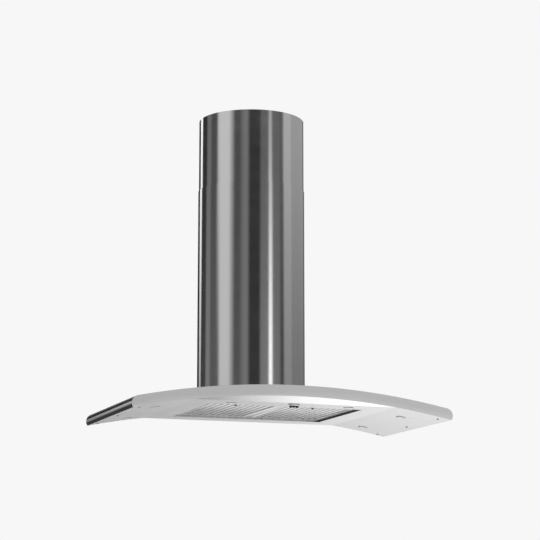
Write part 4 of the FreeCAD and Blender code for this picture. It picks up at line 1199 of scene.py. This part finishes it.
@dataclass
class Filters:
    """The two filters with their pressed edges eased, their latches, and black strips beside them that are
    painted shade on the recess walls.
    """

    centre: float = 109.075 * MM
    slot_half: float = 91.1 * MM
    front: float = -357.5 * MM
    rear: float = -76.5 * MM
    low: float = -18.5 * MM
    fold_foot: float = 0.9 * MM
    fold_height: float = 5.4 * MM
    fold_gauge: float = 0.8 * MM
    edge: float = 0.30 * MM
    knob_x: tuple[float, float] = (-138.07 * MM, 80.08 * MM)
    knob_y: float = -373.0 * MM
    knob_top: float = -18.7 * MM
    knob_foot: float = -25.6 * MM
    knob: float = 3.0 * MM
    knob_flats: int = 24
    knob_flute: float = 0.25 * MM
    knob_round: float = 0.6 * MM
    recess: float = 219.0 * MM
    recess_front: float = -387.0 * MM
    recess_rear: float = -62.0 * MM
    # painted shade: black strips on the recess's side walls stand in for the shade there
    seal_seat: float = 0.1 * MM
    seal_face: float = 0.8 * MM
    seal_low: float = -23.8 * MM

    def build(self) -> None:
        """Model both filters, their latches and the strips of painted shade beside them."""
        for side, sign, knob_x in (("left", -1, self.knob_x[0]), ("right", 1, self.knob_x[1])):
            self._rim(side, sign * self.centre)
            for row in ("lower", "upper"):
                node = f"{row}_baffles_{side}"
                channels = Workpiece(f"{row}_channels_{side}").cast(node)
                channels.bevelled(self.edge, 2).done(f"filter_{side}", Slot.filter_steel, node)
            self._latch(side, knob_x)
        self._seals()

    def _rim(self, side: str, centre: float) -> None:
        """Model a rim, with the folds that stand up beside its end slots.

        Args:
            side: which filter.
            centre: its middle across the hood.
        """
        node = f"filter_frame_{side}"
        rim = Workpiece(f"rim_{side}").cast(node).bevelled(self.edge, 2)
        folds = []
        for end in (-1, 1):
            inner = centre + end * self.slot_half
            outer = inner + end * self.fold_gauge
            low, high = min(inner, outer), max(inner, outer)
            fold = Workpiece("fold").block(
                (low, self.front, self.low + self.fold_foot), (high, self.rear, self.low + self.fold_height))
            folds.append(fold.bevelled(0.2 * MM))
        rim.with_parts(*folds).done(f"filter_{side}", Slot.filter_steel, node)

    def _latch(self, side: str, x: float) -> None:
        """Model a latch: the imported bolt, and a fluted knob that can be gripped.

        Args:
            side: which filter.
            x: the knob's place across the hood.
        """
        node = f"filter_latch_{side}"
        bolt = Workpiece(f"latch_{side}").cast(node).bevelled(self.edge, 2, 50.0)
        middle = (x, self.knob_y, (self.knob_foot + self.knob_top) / 2)
        knob = Workpiece("knob").turned(middle, self.knob, self.knob_top - self.knob_foot, self.knob_flats)
        knob.at(
            lambda middle, normal: abs(normal.z) < 0.1
            and round(math.atan2(normal.y, normal.x) * self.knob_flats / (2 * math.pi) - 0.5) % 2 == 0,
            inset(0.15 * MM, -self.knob_flute),
        )
        knob.at(DOWN, *round_rim(self.knob_round))
        bolt.with_parts(knob).done(f"latch_{side}", Slot.black_plastic, node)

    def _seals(self) -> None:
        """Model the black strips on the recess walls beside the filters, shaped like seals: painted shade
        that stands in for the shade inside the recess.
        """
        for side, sign in (("left", -1), ("right", 1)):
            wall, face = sign * (self.recess - self.seal_seat), sign * (self.recess - self.seal_face)
            shade_strip = Workpiece(f"side_shade_strip_{side}").block(
                (min(wall, face), self.recess_front + MM, self.seal_low),
                (max(wall, face), self.recess_rear - MM, self.low - 0.3 * MM))
            shade_strip.at(towards(-sign, 0, 0), inset(0.6 * MM), inset(0.4 * MM, -0.3 * MM))
            shade_strip.bevelled(0.15 * MM, 1).done("hood", Slot.black_plastic)


# ----------------------------------------------------------------------- blower

@dataclass
class Blower:
    """The fan wheel with its curved blades, and the finned motor that drives it."""

    axis_x: float = -9.0 * MM
    axis_z: float = 136.0 * MM
    wheel: float = 70.0 * MM
    wheel_inner: float = 58.0 * MM
    wheel_front: float = -157.0 * MM
    wheel_rear: float = -41.0 * MM
    ring_width: float = 3.0 * MM
    disc_y: float = -99.0 * MM
    blades: int = 40
    hub: float = 9.0 * MM
    motor_radius: float = 38.0 * MM
    motor_front: float = -89.0 * MM
    motor_rear: float = -43.0 * MM
    flats: int = 48

    def _around(self, count: int) -> list[Matrix]:
        """Placings that share a full turn about the fan's axis."""
        there = Matrix.Translation((self.axis_x, 0, self.axis_z))
        return [there @ Matrix.Rotation(2 * math.pi * step / count, 4, "Y") for step in range(count)]

    def _ring(self, front: float) -> Workpiece:
        """Model one of the wheel's end rings.

        Args:
            front: its front face, from front to rear.

        Returns:
            The ring.
        """
        middle = (self.axis_x, front + self.ring_width / 2, self.axis_z)
        ring = Workpiece("ring").turned(middle, self.wheel, self.ring_width, 96, Way.BACK)
        width = self.wheel - self.wheel_inner
        ring.at(lambda middle, normal: abs(normal.y) > 0.99, inset(width))
        ring.at(
            lambda middle, normal: abs(normal.y) > 0.99
            and Vector((middle.x - self.axis_x, middle.z - self.axis_z)).length < MM,
            bridge,
        )
        return ring.bevelled(0.5 * MM)

    def _blade(self) -> Workpiece:
        """Model one blade, curved forward, where it stands at the top of a wheel about the origin.

        Returns:
            The blade.
        """
        low, high = self.wheel_front + MM, self.wheel_rear - MM
        root = self.wheel_inner + 0.6 * MM
        blade = Workpiece("blade").block((-0.5 * MM, low, root), (0.5 * MM, high, root + 1.6 * MM))
        moves = ((0.35, 1.9), (0.75, 1.8), (1.2, 1.7), (1.7, 1.4), (1.9, 1.0))
        return blade.at(UPWARDS, *(draw(x * MM, 0, z * MM) for x, z in moves))

    def _wheel(self) -> None:
        """Model the fan wheel."""
        wheel = Workpiece("fan_wheel")
        rim = self.wheel - 2 * MM
        disc = Workpiece("disc").turned((self.axis_x, self.disc_y, self.axis_z), rim, 2 * MM, 96, Way.BACK)
        inner = rim - self.hub - 3 * MM
        for way, test in ((-1, FRONTWARDS), (1, BACKWARDS)):
            disc.at(test, inset(inner * 0.35), inset(inner * 0.5, -0.5 * MM), inset(inner * 0.15, 0.5 * MM),
                    draw(0, way * 1.5 * MM, 0), inset(3 * MM), draw(0, way * 4.5 * MM, 0))
        blades = self._blade().repeated(self._around(self.blades))
        rings = [self._ring(self.wheel_front), self._ring(self.wheel_rear - self.ring_width)]
        wheel.thing = disc.thing
        wheel.with_parts(blades, *rings).done("fan", Slot.impeller_plastic, "impeller")

    def _cooling_slot(self, middle: Vector, normal: Vector) -> bool:
        """Whether a face of the motor is sunk between two fins.

        Args:
            middle: the face's middle.
            normal: its normal.

        Returns:
            True if it is.
        """
        turn = round(math.atan2(normal.z, normal.x) / (2 * math.pi / self.flats) - 0.5)
        within = self.motor_front + 9 * MM < middle.y < self.motor_rear - 9 * MM
        return abs(normal.y) < 0.1 and within and turn % 2 == 0

    def _motor(self) -> None:
        """Model the motor."""
        middle = (self.axis_x, (self.motor_front + self.motor_rear) / 2, self.axis_z)
        motor = Workpiece("motor_shell").turned(
            middle, self.motor_radius, self.motor_rear - self.motor_front, self.flats, Way.BACK)
        for y in (self.motor_front + 8 * MM, self.motor_rear - 8 * MM):
            motor.sliced((0, y, 0), (0, 1, 0))
        motor.at(self._cooling_slot, draw_each(-2.0 * MM))
        for test in (FRONTWARDS, BACKWARDS):
            motor.at(test, *round_rim(3.0 * MM, 4))
        motor.at(
            lambda middle, normal: normal.y < -0.99 and abs(middle.x - self.axis_x) < MM
            and abs(middle.z - self.axis_z) < MM,
            inset(9.0 * MM), inset(2.0 * MM, -2.0 * MM), inset(8.0 * MM), inset(1.5 * MM, 2.0 * MM),
        )
        motor.done("hood", Slot.motor_case, "motor")

    def build(self) -> None:
        """Model the wheel and the motor."""
        self._wheel()
        self._motor()


# ------------------------------------------------------------------- electrics

@dataclass
class Electrics:
    """The connection box with its gland, and the lamps' driver."""

    box_low: tuple[float, float, float] = (-35.0 * MM, -16.5 * MM, 320.0 * MM)
    box_high: tuple[float, float, float] = (35.0 * MM, -1.5 * MM, 366.0 * MM)
    gland_foot: tuple[float, float, float] = (0.0, -9.0 * MM, 366.0 * MM)
    gland_radius: float = 6.0 * MM
    gland_height: float = 14.0 * MM
    nut_height: float = 5.0 * MM
    dome_radius: float = 5.0 * MM
    driver_low: tuple[float, float, float] = (234.0 * MM, -330.0 * MM, -23.0 * MM)
    driver_high: tuple[float, float, float] = (278.0 * MM, -180.0 * MM, -1.0 * MM)

    def build(self) -> None:
        """Model the box, its screws, the gland and the driver."""
        box = Workpiece("connection_box").block(self.box_low, self.box_high)
        for seam in (4 * MM, 5 * MM):
            box.sliced((0, self.box_low[1] + seam, 0), (0, 1, 0))
        box.at(
            lambda middle, normal: abs(normal.y) < 0.1 and 4 * MM < middle.y - self.box_low[1] < 5 * MM,
            lambda: bpy.ops.transform.shrink_fatten(value=-0.6 * MM),
        )
        box.at(FRONTWARDS, inset(3.0 * MM, -0.4 * MM), inset(0.8 * MM, 0.4 * MM))
        box.bevelled(0.6 * MM).done("hood", Slot.black_plastic, "terminal_box")
        screw = CrossScrew(2.4 * MM, 0.3 * MM, 1.2 * MM, 3.0 * MM).piece("box_screws")
        middle_z = (self.box_low[2] + self.box_high[2]) / 2
        screw.repeated([
            Matrix.Translation((side * 29 * MM, self.box_low[1] + 0.35 * MM, middle_z))
            @ Matrix.Rotation(-math.pi / 2, 4, "X") for side in (-1, 1)
        ]).done("hood", Slot.dark_screw)
        self._gland()
        self._driver()

    def _gland(self) -> None:
        """Model the gland: a hexagon, a ribbed dome and the mouth for the lead."""
        x, y, z = self.gland_foot
        nut = Workpiece("gland_body").turned(
            (x, y, z + self.nut_height / 2), self.gland_radius, self.nut_height, 6)
        nut.bevelled(0.3 * MM, 1)
        dome = Workpiece("dome").turned(
            (x, y, z + (self.nut_height + self.gland_height) / 2),
            self.dome_radius, self.gland_height - self.nut_height, 24)
        dome.at(
            lambda middle, normal: abs(normal.z) < 0.1
            and round(math.atan2(normal.y, normal.x) * 12 / math.pi) % 2 == 1,
            inset(0.2 * MM, -0.4 * MM),
        )
        dome.at(UPWARDS, inset(1.2 * MM), inset(0.8 * MM, -2.0 * MM))
        nut.with_parts(dome).done("hood", Slot.black_plastic, "cable_gland")

    def _driver(self) -> None:
        """Model the driver: a closed case with ribs on its lid and a lead slot at each end."""
        case = Workpiece("driver_case").block(self.driver_low, self.driver_high)
        length = self.driver_high[1] - self.driver_low[1]
        for step in range(1, 16):
            case.sliced((0, self.driver_low[1] + length * step / 16, 0), (0, 1, 0))
        case.at(
            lambda middle, normal: normal.z > 0.99
            and int((middle.y - self.driver_low[1]) / length * 16) % 2 == 1,
            inset(1.5 * MM, -1.2 * MM),
        )
        for test in (FRONTWARDS, BACKWARDS):
            case.at(test, inset(4.0 * MM), inset(2.0 * MM, -1.5 * MM))
        case.bevelled(0.5 * MM).done("hood", Slot.housing_plastic, "lamp_driver")


# --------------------------------------------------------------------- sheetwork

@dataclass
class Sheetwork:
    """Sheet edges that are broken with a file, so that they catch the light."""

    fascia_edge: float = 0.4 * MM

    def build(self) -> None:
        """Break the edges of the front band."""
        fascia = Workpiece("front_band").cast("front_fascia")
        fascia.bevelled(self.fascia_edge, 2, 50.0)
        fascia.done("hood", Slot.satin_steel, "front_fascia", finish=OWN_FINISH["front_fascia"])


# ---------------------------------------------------------------------- assembly

def dress_nodes() -> None:
    """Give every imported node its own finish, or that of its slot."""
    slots = {row["node"]: row["material_slot"] for row in frame["record"]["subparts"]}
    for name, node in frame["nodes"].items():
        finish = OWN_FINISH.get(name, Slot[slots[name]].value)
        node.data.materials.clear()
        node.data.materials.append(finish.material())
        log.info("%s wears %s", name, finish.name)


def main() -> None:
    """Build the studio and dress the hood."""
    logging.basicConfig(level=logging.INFO, format="%(message)s")
    Studio().build()
    dress_nodes()
    fasteners = Fasteners()
    for part in (
        fasteners, SpotLamps(fasteners), Controls(), Filters(), Blower(), Electrics(), Sheetwork(),
    ):
        part.build()


if __name__ == "__main__":
    main()
